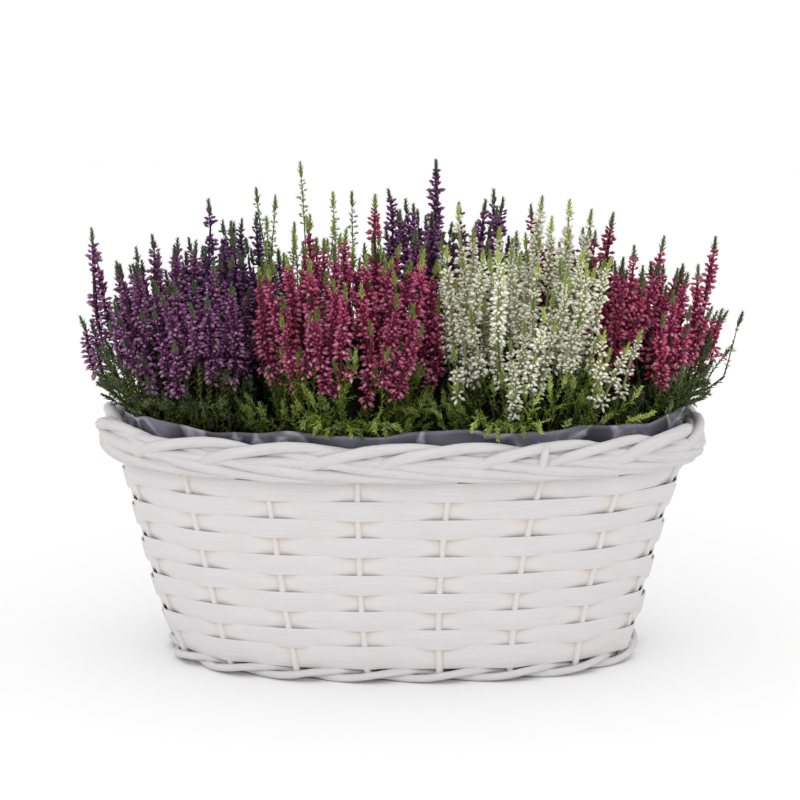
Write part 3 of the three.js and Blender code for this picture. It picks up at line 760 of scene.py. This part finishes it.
INNER_RINGS = [(162, 0.3), (174, 0.4), (186, 0.38), (198, 0.32), (212, 0.26), (228, 0.2), (242, 0.1)]
INNER_COLUMNS = 22
INNER_LEAN_HEIGHT = 40
PLANTS = [
    dict(name="purple_left", trunk=(-142, -16), head=(-172, -16), reach=64, top=308,
         leaders=[(-228, -10, 314), (-240, 6, 247, 200), (-204, -42, 291), (-183, -20, 310), (-166, -4, 306)],
         low=[(-212, -45, 250), (-186, -72, 262), (-150, -84, 268)],
         hanging=[(-196, -72, 197), (-184, -84, 196), (-170, -93, 198), (-155, -101, 195), (-140, -107, 197),
                  (-126, -104, 200)]),
    dict(name="violet_back_left", trunk=(-118, 50), head=(-134, 54), reach=60, top=318,
         leaders=[(-146, 30, 332), (-127, 14, 307), (-112, 58, 320), (-139, 76, 312)]),
    dict(name="white_back", trunk=(-60, 60), head=(-68, 60), reach=62, top=326,
         leaders=[(-112, 60, 338), (-97, 50, 333), (-79, 70, 357), (-54, 60, 335), (-40, 78, 334)]),
    dict(name="magenta_front", trunk=(-48, -42), head=(-42, -44), reach=71, top=316,
         leaders=[(-99, -50, 292), (-68, -25, 325), (-41, -60, 318), (-21, -20, 339), (14, -60, 303)],
         low=[(-24, -106, 258, 198), (-86, -98, 262), (-60, -106, 268), (6, -106, 270, 206), (-49, -96, 286)],
         hanging=[(-70, -134, 188), (-62, -137, 185), (-53, -139, 182), (-44, -138, 188), (-36, -140, 183),
                  (-28, -141, 180), (-20, -139, 187), (-12, -140, 183), (-2, -138, 187), (10, -116, 194),
                  (22, -110, 195)]),
    dict(name="violet_back", trunk=(26, 60), head=(28, 60), reach=66, top=330,
         leaders=[(24, 50, 360), (1, 40, 331), (-12, 76, 336), (42, 72, 326), (68, 60, 337), (7, 46, 327),
                  (-5, 50, 322), (75, 56, 331), (62, 62, 329), (70, 50, 324)]),
    dict(name="white_front", trunk=(72, -44), head=(94, -44), reach=78, top=322,
         leaders=[(39, -22, 332), (100, -20, 338), (121, -4, 334), (136, -16, 328), (168, -70, 247, 196)],
         low=[(73, -118, 246, 187), (46, -100, 266), (90, -100, 274), (104, -106, 260), (41, -66, 298),
              (140, -94, 250, 200), (122, -100, 258), (158, -84, 240, 190)],
         hanging=[(46, -138, 187), (55, -139, 184), (64, -140, 181), (74, -138, 187), (82, -139, 183),
                  (94, -138, 186)]),
    dict(name="crimson_back", trunk=(114, 54), head=(130, 58), reach=60, top=314,
         leaders=[(96, 54, 326), (157, 40, 321), (146, 66, 305)]),
    dict(name="crimson_right", trunk=(150, -8), head=(186, -6), reach=60, top=300,
         leaders=[(191, 0, 307), (215, -10, 287), (228, -6, 307), (245.5, -30, 255), (204, -50, 248)],
         low=[(205, -50, 262), (184, -64, 258), (156, -48, 291), (166, -30, 303), (171, -56, 283)],
         pale_sprig=(245.5, -30, 255)),
]


def reach_towards(plant, angle):
    """How far a plant's head spreads towards an angle before it meets its neighbours."""
    reach = plant["reach"]
    for other in PLANTS:
        if other is plant:
            continue
        away = np.subtract(other["head"], plant["head"])
        distance = float(np.linalg.norm(away))
        towards = float(away @ (math.cos(angle), math.sin(angle))) / distance
        if towards > 0.05:
            reach = min(reach, (distance / 2 + NEIGHBOUR_OVERLAP) / towards)
    return reach


def outwardness(plant, angle):
    """1 on the side of a plant that faces out of the planter, 0 on the side that faces in."""
    x, y = plant["head"]
    outward = (x / RIM_HALF_WIDTH) * math.cos(angle) + (y / RIM_HALF_DEPTH) * math.sin(angle)
    return min(max(outward, 0), 1)


def about(x, y, angle, out):
    """The place that lies a distance away from another, towards an angle."""
    return x + out * math.cos(angle), y + out * math.sin(angle)


def stem_tips(plant, count, draw):
    """Tips of the flowering stems: the listed ones, even places between them, then side stems.

    A listed tip may have a fourth number, the height at which its buds start.
    """
    places = []
    for n in range(PLACES):
        angle = n * GOLDEN_ANGLE
        share = math.sqrt((n + 0.5) / PLACES)
        out = share * (reach_towards(plant, angle) - 3)
        drop = INNER_DROP + (OUTER_DROP - INNER_DROP) * outwardness(plant, angle)
        z = plant["top"] - drop * share ** 3 - draw.uniform(*UNEVEN_DROP)
        places.append((*about(*plant["head"], angle, out), z))
    tips = plant["leaders"] + plant.get("low", [])
    while len(tips) < count:
        tips = tips + [max(places, key=lambda p: min(math.hypot(p[0] - t[0], p[1] - t[1]) for t in tips))]
    for x, y, z, *_ in draw.choices([tip for tip in tips if tip[2] > SIDE_STEMS_ABOVE], k=SIDE_STEMS):
        place = about(x, y, draw.uniform(0, 2 * math.pi), draw.uniform(*SIDE_STEM_REACH))
        tips.append((*place, max(z - draw.uniform(*SIDE_STEM_DROP), SIDE_STEM_LOWEST)))
    return tips


def within_rim(x, y, z):
    """Whether a point of a stem is inside the film or, above its edge, leans only a little over the rim."""
    over = min(max((z - RIM_TOP) / 10, 0), 1)
    return abs(x / RIM_HALF_WIDTH) ** OVAL_POWER + abs(y / RIM_HALF_DEPTH) ** OVAL_POWER < 0.84 + 0.3 * over


def kept_inside(plant, point):
    """A point of a stem, pulled in towards its stock until it clears the film and the rim."""
    stock = np.array([*plant["trunk"], point[2]])
    while point[2] < RIM_TOP + 10 and not within_rim(*point):
        point = point + 0.03 * (stock - point)
    return tuple(point)


def stem_path(plant, tip, spread, arch, draw):
    """A stem that comes out of the soil beside the stock, leans out and turns up to its tip, or arches over
    to it. Its root lies a spread's share of the way out, and tall stems bend later and higher."""
    stock = np.array([*about(*plant["trunk"], draw.uniform(0, 2 * math.pi), STOCK_RADIUS), STOCK_TOP])
    away = (np.array(tip) - stock) * (1, 1, 0)
    tall = min(max((tip[2] - 235) / 60, 0), 1)
    rise = (0.35 + 0.2 * tall) * (tip[2] - stock[2]) * draw.uniform(0.7, 1.2) + arch
    askew = (draw.uniform(-BEND_SPREAD, BEND_SPREAD), draw.uniform(-BEND_SPREAD, BEND_SPREAD), rise)
    root, bend = stock + spread * away, stock + (0.74 + 0.12 * tall) * away + askew
    if not within_rim(bend[0], bend[1], RIM_TOP):
        bend[2] = max(bend[2], RIM_TOP + RIM_CLEARANCE)
    sway = np.array([draw.uniform(-SWAY, SWAY), draw.uniform(-SWAY, SWAY), 0])
    path = []
    for i in range(STEM_POINTS):
        t = i / (STEM_POINTS - 1)
        point = (1 - t) ** 2 * root + 2 * t * (1 - t) * bend + t ** 2 * np.array(tip)
        point = point + sway * (math.sin(2.5 * math.pi * t) * (1 - 0.5 * t) - 0.5 * t ** 4)
        path.append(tuple(point) if arch else kept_inside(plant, point))
    return path


def to_tip(path):
    """Distance from each point of a stem to its tip, in metres."""
    steps = np.linalg.norm(np.diff(np.array(path), axis=0), axis=1) / 1000
    return (steps.sum() - np.concatenate([[0], np.cumsum(steps)])).tolist()


def flowering_stems(plant, count, draw):
    """Each flowering stem's tip, the length of its bloom in metres, and its spread and arch."""
    for x, y, z, *bottom in stem_tips(plant, count, draw):
        lowest = bottom[0] if bottom else BLOOM_BOTTOM + draw.uniform(*BLOOM_BOTTOM_SPREAD)
        longer = LEADER_BLOOM if (x, y, z) in plant["leaders"] else 0
        bloom = min(draw.uniform(*BLOOM_LENGTHS) + longer, (z - lowest) / 1000)
        yield (x, y, z), bloom, FLOWERING_SPREAD, 0.0


def leafy_stems(plant, count, turn, draw):
    """The same for the low leafy shoots round the plant and those that arch over the rim."""
    for n in range(count):
        angle = n * GOLDEN_ANGLE + turn
        height = draw.uniform(0.1, 1.0)
        reach = reach_towards(plant, angle) + LEAFY_MARGIN + LEAFY_OUTREACH * outwardness(plant, angle)
        out = math.sqrt(1 - 0.7 * height ** 2) * reach * draw.uniform(*LEAFY_REACHES)
        z = LEAFY_BOTTOM + LEAFY_RISE * height
        while not within_rim(*about(*plant["head"], angle, out), z):
            out *= 0.97
        yield (*about(*plant["head"], angle, out), z), 0.0, LEAFY_SPREAD, 0.0
    for tip in plant.get("hanging", ()):
        yield tip, 0.0, LEAFY_SPREAD, HANGING_ARCH


def heather_stems(plant, flowering, leafy, seed):
    """The stems of one plant as paths that keep their distance to the tip, bloom length, shade and girth."""
    draw = random.Random(seed)
    stems = [*flowering_stems(plant, flowering, draw), *leafy_stems(plant, leafy, seed, draw)]
    paths = [stem_path(plant, tip, spread, arch, draw) for tip, _, spread, arch in stems]
    ends = [to_tip(path) for path in paths]
    shades = [draw.random() for _ in paths]
    return lay_paths("stems_of_" + plant["name"], paths, {
        "tip_distance": ends,
        "bloom": [[length] * STEM_POINTS for _, length, _, _ in stems],
        "unopened": [[float(tip == plant.get("pale_sprig"))] * STEM_POINTS for tip, _, _, _ in stems],
        "shade": [[shade] * STEM_POINTS for shade in shades],
        "girth": [[0.3 + 5 * d for d in end] for end in ends]})


def inner_bush(plant, seed):
    """The close inner growth of one plant, too thick to see through, which the outer stems stand out of. Its
    skin is coloured near-black, as painted shade for the inside of the plant.
    """
    draw = random.Random(seed)
    rings = []
    for z, share in INNER_RINGS:
        lean = min((z - INNER_RINGS[0][0]) / INNER_LEAN_HEIGHT, 1)
        x, y = (t + lean * (h - t) for t, h in zip(plant["trunk"], plant["head"]))
        ring = []
        for c in range(INNER_COLUMNS):
            angle = 2 * math.pi * c / INNER_COLUMNS
            out = share * reach_towards(plant, angle) * draw.uniform(0.82, 1.12)
            ring.append((*about(x, y, angle, out), z + draw.uniform(-4, 4)))
        rings.append(ring)
    mesh = ringed_mesh("inner_growth", rings, (*plant["trunk"], INNER_RINGS[0][0] - 4),
                       (*plant["head"], INNER_RINGS[-1][0] + 6))
    count = len(mesh.vertices)
    # The skin's near-black colour, set in the leaf finish, is painted shade.
    give_numbers(mesh, tip_distance=[0.1] * count, chance=[0.06] * count, hidden=[1.0] * count)
    return new_object("inner_growth_of_" + plant["name"], mesh)


def chance_of(given, low, high):
    """A number drawn for each point."""
    seed = given["Seed"]
    return put(seed.id_data, "FunctionNodeRandomValue", {2: low, 3: high, "Seed": seed}, output=1)


def turned(first, then):
    """A turn, and then another about the axes as they lie after the first."""
    return put(first.id_data, "FunctionNodeRotateRotation", {"Rotation": first, "Rotate By": then},
               rotation_space="LOCAL")


def spiralled(given, tilt, wobble):
    """Turns for parts set round a stem: each stands out from it, a golden angle on from the last."""
    tree = given["Seed"].id_data
    tangent = put(tree, "GeometryNodeInputTangent")
    upward = put(tree, "FunctionNodeAlignRotationToVector", {"Vector": tangent}, axis="Z")
    around = times(put(tree, "GeometryNodeInputIndex"), GOLDEN_ANGLE)
    spin = put(tree, "FunctionNodeAxisAngleToRotation", {"Axis": (0, 0, 1), "Angle": around})
    angle = sum_up("ADD", tilt, times(chance_of(given, -1.0, 1.0), wobble))
    lean = put(tree, "FunctionNodeAxisAngleToRotation", {"Axis": (1, 0, 0), "Angle": angle})
    return turned(turned(upward, spin), lean)


def between(value, low, high):
    """1 where a number lies between two others, 0 elsewhere."""
    return times(sum_up("GREATER_THAN", value, low), sum_up("LESS_THAN", value, high))


def thread(curve, sides, girth):
    """A slim rod round each curve, with closed ends."""
    ring = put(curve.id_data, "GeometryNodeCurvePrimitiveCircle", {"Resolution": sides, "Radius": 1})
    return put(curve.id_data, "GeometryNodeCurveToMesh",
               {"Curve": curve, "Profile Curve": ring, "Scale": girth, "Fill Caps": True})


def bud_shape(tree, plumpness):
    """One closed bud, a unit long on its stalk and wider above, which keeps how far up it a point lies."""
    ball = put(tree, "GeometryNodeMeshUVSphere", {"Segments": 4, "Rings": 2, "Radius": 0.5})
    x, y, z = put(tree, "ShaderNodeSeparateXYZ", {0: put(tree, "GeometryNodeInputPosition")}).node.outputs
    marked = keep_number(ball, "inner", sum_up("ADD", z, 0.5))
    widening = times(sum_up("ADD", times(z, 0.5), 1.0), plumpness)
    stalk = times(sum_up("LESS_THAN", z, -0.4), 0.4)
    place = put(tree, "ShaderNodeCombineXYZ", {
        "X": times(x, widening),
        "Y": times(y, widening),
        "Z": sum_up("SUBTRACT", sum_up("ADD", z, 1.0), stalk)})
    return put(tree, "GeometryNodeSetPosition", {"Geometry": marked, "Position": place})


def bud_core(tree, given, blooming, thickness):
    """The stem's slim core inside its buds, coloured dark as painted shade between them. A stretch of a
    single point can't be a rod and is left out.
    """
    outside = sum_up("SUBTRACT", 1.0, blooming)
    shade_core = put(tree, "GeometryNodeDeleteGeometry",
                {"Geometry": smooth_paths(given, CORE_SPACING), "Selection": outside})
    single = sum_up("LESS_THAN", put(tree, "GeometryNodeSplineLength", output="Point Count"), 2.0)
    shade_core = put(tree, "GeometryNodeDeleteGeometry", {"Geometry": shade_core, "Selection": single}, domain="CURVE")
    return keep_number(thread(shade_core, 4, thickness), "hidden", 1.0)


CORE_SPACING = 0.007
TUFTS_PER_METRE = 120
TUFT_GAP = 0.42


def bud_tree():
    """Closed buds round the blooming part of each stem, smaller towards the tip, drooping lower down."""
    tree, given = start_tree("heather_buds", Spacing="Float", Bud="Float", Plumpness="Float", Core="Float",
                             Tip="Float", Seed="Int")
    to_end = kept_number(tree, "tip_distance")
    bloom = kept_number(tree, "bloom")
    unopened = kept_number(tree, "unopened")
    age = ranged(to_end, 0.0, bloom)
    young = ranged(to_end, 0.007, 0.024, 0.6)
    in_bloom = between(to_end, times(given["Tip"], 0.75), bloom)

    left = sum_up("SUBTRACT", 2.0, times(unopened, 1.6))
    kept = sum_up("LESS_THAN", chance_of(given, 0.0, 1.5), left)
    tufts = put(tree, "ShaderNodeTexNoise", {"Scale": TUFTS_PER_METRE, "Detail": 1})
    chosen = times(kept, sum_up("GREATER_THAN", tufts, TUFT_GAP), in_bloom)
    stems = keep_number(smooth_paths(given, given["Spacing"]), "age", age)
    stems = keep_number(stems, "chance", chance_of(given, 0.0, 1.0))
    buds = set_out(stems, bud_shape(tree, given["Plumpness"]),
                   spiralled(given, ranged(age, 0.0, 1.0, 0.6, 1.7), 0.7),
                   times(young, given["Bud"], chance_of(given, 0.65, 1.35)), chosen)

    blooming = times(in_bloom, sum_up("LESS_THAN", unopened, 0.5))
    slimmer = ranged(age, 0.8, 1.0, 1.0, 0.3)
    thickness = times(young, slimmer, chance_of(given, 0.6, 1.2), given["Core"])
    # The core is coloured dark in the finish, as painted shade between the buds.
    core = bud_core(tree, given, blooming, thickness)
    return end_tree(tree, joined(core, buds), given)


WOOD_SPACING = 0.012
NEEDLE_WIDTH = 0.21
TWIG_SPACING = 0.0052
TWIG_LENGTH = 0.009
TWIG_PAIRS = 9
TWIGS_TOP = 0.004
TWIGS_BOTTOM = 0.044
LEAVES_BELOW_BLOOM = 0.036


def inner_leaves(tree, given, bush, needle):
    """Leaves that stand out of the plant's close inner growth every way."""
    spots = put(tree, "GeometryNodeDistributePointsOnFaces",
                {"Mesh": bush, "Density": given["Inner Leaves"], "Seed": given["Seed"]})
    turn = put(tree, "FunctionNodeRandomValue", {0: (-0.9, -0.9, -3.0), 1: (0.9, 0.9, 3.0)},
               data_type="FLOAT_VECTOR")
    askew = put(tree, "FunctionNodeEulerToRotation", {0: turn})
    points = keep_number(spots, "shade", 0.3)
    points = keep_number(points, "tip_distance", 0.05)
    points = keep_number(points, "chance", chance_of(given, 0.05, 0.8))
    return set_out(points, needle, turned(spots.node.outputs["Rotation"], askew),
                   times(given["Leaf"], chance_of(given, 1.1, 2.0)))


def leafy_twigs(tree, given, needle):
    """Short side shoots, each a spiral of leaves round a line, below the buds and close to a shoot's end."""
    line = put(tree, "GeometryNodeCurvePrimitiveLine", {"End": (0, 0, TWIG_LENGTH)})
    stalk = put(tree, "GeometryNodeResampleCurve", {"Curve": line, "Count": TWIG_PAIRS}, mode="COUNT")
    stalk = keep_number(stalk, "chance", chance_of(given, 0.1, 1.0))
    twig = set_out(stalk, needle, spiralled(given, 0.55, 0.3), times(given["Leaf"], 0.85))
    whole_twig = put(tree, "GeometryNodeRealizeInstances", {"Geometry": twig})
    to_end = kept_number(tree, "tip_distance")
    bottom = sum_up("SUBTRACT", TWIGS_BOTTOM, times(kept_number(tree, "bloom"), 10.0))
    size = times(ranged(to_end, 0.0, 0.028, 0.35), chance_of(given, 0.7, 1.2))
    return set_out(smooth_paths(given, TWIG_SPACING), whole_twig,
                   spiralled(given, 0.7, 0.35), size, between(to_end, TWIGS_TOP, bottom))


def leaf_tree():
    """The stems, their scale-like leaves below the buds and a few among them, and the tight green tips."""
    tree, given = start_tree("heather_greens", Spacing="Float", Leaf="Float", Tip="Float", Girth="Float",
                             Seed="Int", Inner_Growth="Object", Inner_Leaves="Float")
    thickness = times(kept_number(tree, "girth"), given["Girth"])
    bark = thread(smooth_paths(given, WOOD_SPACING), 3, thickness)
    for number in ("chance", "inner"):
        bark = keep_number(bark, number, 0.0)
    cone = put(tree, "GeometryNodeMeshCone",
               {"Vertices": 3, "Radius Top": 0.0, "Radius Bottom": NEEDLE_WIDTH, "Depth": 1.0})
    height = put(tree, "ShaderNodeSeparateXYZ", {0: put(tree, "GeometryNodeInputPosition")}, output="Z")
    needle = keep_number(cone, "inner", height)
    bush = put(tree, "GeometryNodeObjectInfo", {"Object": given["Inner Growth"]}, output="Geometry")
    parts = [bark, bush, inner_leaves(tree, given, bush, needle), leafy_twigs(tree, given, needle)]

    to_end = kept_number(tree, "tip_distance")
    bloom = kept_number(tree, "bloom")
    spacing = given["Spacing"]
    tip = given["Tip"]
    below = sum_up("MAXIMUM", times(bloom, 0.94), tip)
    leafy_end = sum_up("ADD", bloom, LEAVES_BELOW_BLOOM)
    young = ranged(to_end, 0.0, tip, 0.5)
    for apart, start, end, tilt, wobble, sizes in (
            (spacing, below, leafy_end, 0.6, 0.3, (0.8, 1.25)),
            (times(spacing, 3.4), tip, below, 0.9, 0.3, (0.8, 1.2)),
            (times(spacing, 0.3), -1.0, tip, 0.55, 0.2, (1.3, 1.75))):
        stems = keep_number(smooth_paths(given, apart), "chance", chance_of(given, 0.05, 1.0))
        size = times(given["Leaf"], chance_of(given, *sizes), young)
        parts.append(set_out(stems, needle, spiralled(given, tilt, wobble), size,
                             between(to_end, start, end)))
    return end_tree(tree, joined(*parts), given)


def petal_finish(name, shade_core, deep, bright, pale_and_highlight, highlight_and_paleness):
    """Bud colour: deep at the stalk, bright at the mouth, fading to pale on the oldest buds, and pale at the
    mouths of buds drawn at random as painted highlights. The dark core between the buds takes its own colour,
    as painted shade.
    """
    finish, tree, shader = new_finish(name, roughness=0.55, specular=0.3)
    mouth = kept_value(tree, "inner")
    body = blended(mouth, linear(*deep), linear(*bright))
    painted_highlight = ranged(kept_value(tree, "chance"), 0.45, 1.0)
    aged = ranged(kept_value(tree, "age"), 0.0, 1.0, 0.25)
    # Pale at the mouths of buds drawn at random, most on the oldest: partly older florets fading, partly
    # painted highlights.
    colour = blended(times(painted_highlight, mouth, aged, highlight_and_paleness), body, linear(*pale_and_highlight))
    toned = scaled(colour, ranged(kept_value(tree, "shade"), 0.0, 1.0, 0.78, 1.15))
    green = blended(kept_value(tree, "unopened"), toned, linear(196, 206, 158))
    # The dark core between the buds takes its own colour: painted shade.
    feed(shader, {"Base Color": blended(kept_value(tree, "hidden"), green, linear(*shade_core))})
    return finish


def leaf_finish(name, dark, light, tip_dark, tip_light):
    """Leaf colour: brown bark, leaves from dark to fresh green, the growing tips in their own green, and
    near-black painted shade on the inner growth.
    """
    finish, tree, shader = new_finish(name, roughness=0.6, specular=0.3)
    chance = kept_value(tree, "chance")
    leaf = blended(chance, linear(*dark), linear(*light))
    tip = blended(chance, linear(*tip_dark), linear(*tip_light))
    near_tip = ranged(kept_value(tree, "tip_distance"), 0.012, 0.024, 1.0, 0.0)
    wooden = sum_up("LESS_THAN", chance, 0.02)
    colour = blended(wooden, blended(near_tip, leaf, tip), linear(66, 62, 34))
    toned = scaled(colour, ranged(kept_value(tree, "shade"), 0.0, 1.0, 0.55, 1.7))
    # Near-black green on the inner growth: painted shade.
    feed(shader, {"Base Color": blended(kept_value(tree, "hidden"), toned, linear(14, 18, 7))})
    return finish


buds_of_heather = bud_tree()
greens_of_heather = leaf_tree()
TIP_LENGTH = 0.011


def grow(plant_name, colour, slot, seed, petals, leaves, flowering=42, leafy=80, spacing=0.00047, bud=0.0039,
         core=0.0015):
    """Makes one heather: its greens and its flowers, from the same stems."""
    plant = next(p for p in PLANTS if p["name"] == plant_name)
    source = heather_stems(plant, flowering, leafy, seed)
    bush = inner_bush(plant, seed)
    greens = made_by(greens_of_heather, source, f"{plant_name}_leafy_stems", Spacing=0.0014, Leaf=0.0034,
                     Tip=TIP_LENGTH, Girth=0.001, Seed=seed, Inner_Growth=bush, Inner_Leaves=70000.0,
                     Finish=leaf_finish(colour + "_leaves", *leaves))
    flowers = made_by(buds_of_heather, source, f"{plant_name}_buds", Spacing=spacing, Bud=bud,
                      Plumpness=0.6, Core=core, Tip=TIP_LENGTH, Seed=seed + 50,
                      Finish=petal_finish(colour + "_buds", *petals))
    bpy.data.objects.remove(source)
    bpy.data.objects.remove(bush)
    for piece, node, slot_name in ((greens, "greens", "heather_leaves"), (flowers, "flowers", slot)):
        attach(piece, "root")
        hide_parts(f"heather_{plant_name}_{node}")


# The first colour of each plant's petals is the dark core between its buds, painted shade; the fourth is the
# pale of old buds and of painted highlights.
grow("purple_left", "purple", "purple_flowers", seed=11,
     petals=((44, 20, 40), (74, 26, 66), (150, 74, 140), (218, 186, 208), 0.95),
     leaves=((34, 44, 16), (108, 122, 50), (50, 60, 42), (96, 108, 76)))
grow("violet_back_left", "violet_left", "violet_flowers", seed=12, flowering=36, leafy=44,
     petals=((38, 20, 42), (60, 26, 66), (116, 62, 126), (180, 144, 180), 0.7),
     leaves=((24, 32, 14), (66, 82, 38), (42, 56, 36), (84, 98, 66)))
grow("white_back", "white_back", "white_flowers", seed=13, flowering=20, leafy=40, bud=0.003, spacing=0.001,
     core=0.0005,
     petals=((96, 108, 58), (120, 132, 78), (206, 212, 182), (236, 236, 218), 0.8),
     leaves=((52, 74, 24), (116, 142, 58), (96, 118, 50), (156, 172, 96)))
grow("magenta_front", "magenta", "magenta_flowers", seed=14, flowering=46,
     petals=((72, 16, 38), (116, 22, 62), (196, 62, 116), (242, 184, 208), 0.9),
     leaves=((44, 60, 16), (126, 148, 46), (78, 92, 40), (140, 154, 78)))
grow("violet_back", "violet", "violet_flowers", seed=15, flowering=38, leafy=44, bud=0.0044, core=0.0018,
     petals=((46, 24, 50), (76, 34, 70), (140, 80, 138), (204, 168, 194), 0.7),
     leaves=((24, 32, 14), (66, 82, 38), (50, 62, 42), (90, 104, 70)))
grow("white_front", "white", "white_flowers", seed=16, flowering=50, bud=0.0038, spacing=0.00044, core=0.0013,
     petals=((138, 140, 100), (212, 214, 176), (246, 244, 230), (250, 248, 240), 0.9),
     leaves=((50, 72, 20), (124, 150, 54), (116, 136, 60), (172, 186, 104)))
grow("crimson_back", "crimson_back", "crimson_flowers", seed=17, flowering=36, leafy=44, bud=0.0042,
     petals=((70, 16, 34), (108, 22, 52), (174, 52, 94), (214, 144, 168), 0.7),
     leaves=((28, 38, 16), (80, 98, 42), (48, 62, 38), (94, 112, 70)))
grow("crimson_right", "crimson", "crimson_flowers", seed=18,
     petals=((80, 18, 40), (124, 24, 62), (206, 64, 120), (242, 184, 206), 0.85),
     leaves=((36, 50, 16), (106, 126, 48), (54, 64, 42), (100, 114, 74)))


# ---- Floor and lights -----------------------------------------------------------------------
# The planter stands on a plain white floor in an even white studio, with one large soft lamp high
# on the left and a weaker one on the right.

FLOOR_REACH = 6
LAMPS = (("key_lamp", (-0.6, -2.2, 1.3), 2.4, 9), ("fill_lamp", (1.6, -1.3, 1.1), 1.4, 1))
LAMP_TARGET = Vector((0, 0, 0.18))

floor_mesh = bpy.data.meshes.new("studio_floor")
corners = [(x * FLOOR_REACH, y * FLOOR_REACH, 0) for x, y in ((-1, -1), (1, -1), (1, 1), (-1, 1))]
floor_mesh.from_pydata(corners, [], [(0, 1, 2, 3)])
paper, paper_tree, paper_shader = new_finish("white_paper", roughness=0.9, specular=0.1)
feed(paper_shader, {"Base Color": (0.95, 0.95, 0.95, 1)})
floor_mesh.materials.append(paper)
floor = new_object("studio_floor", floor_mesh)

studio = bpy.data.worlds.new("studio")
studio.use_nodes = True
feed(studio.node_tree.nodes["Background"], {"Color": (1, 1, 1, 1), "Strength": 1.05})
bpy.context.scene.world = studio
bpy.context.scene.view_settings.view_transform = "Standard"

for name, place, size, power in LAMPS:
    lamp = new_object(name, bpy.data.lights.new(name, "AREA"))
    lamp.data.size = size
    lamp.data.energy = power
    lamp.location = place
    lamp.rotation_euler = (LAMP_TARGET - Vector(place)).to_track_quat("-Z", "Y").to_euler()
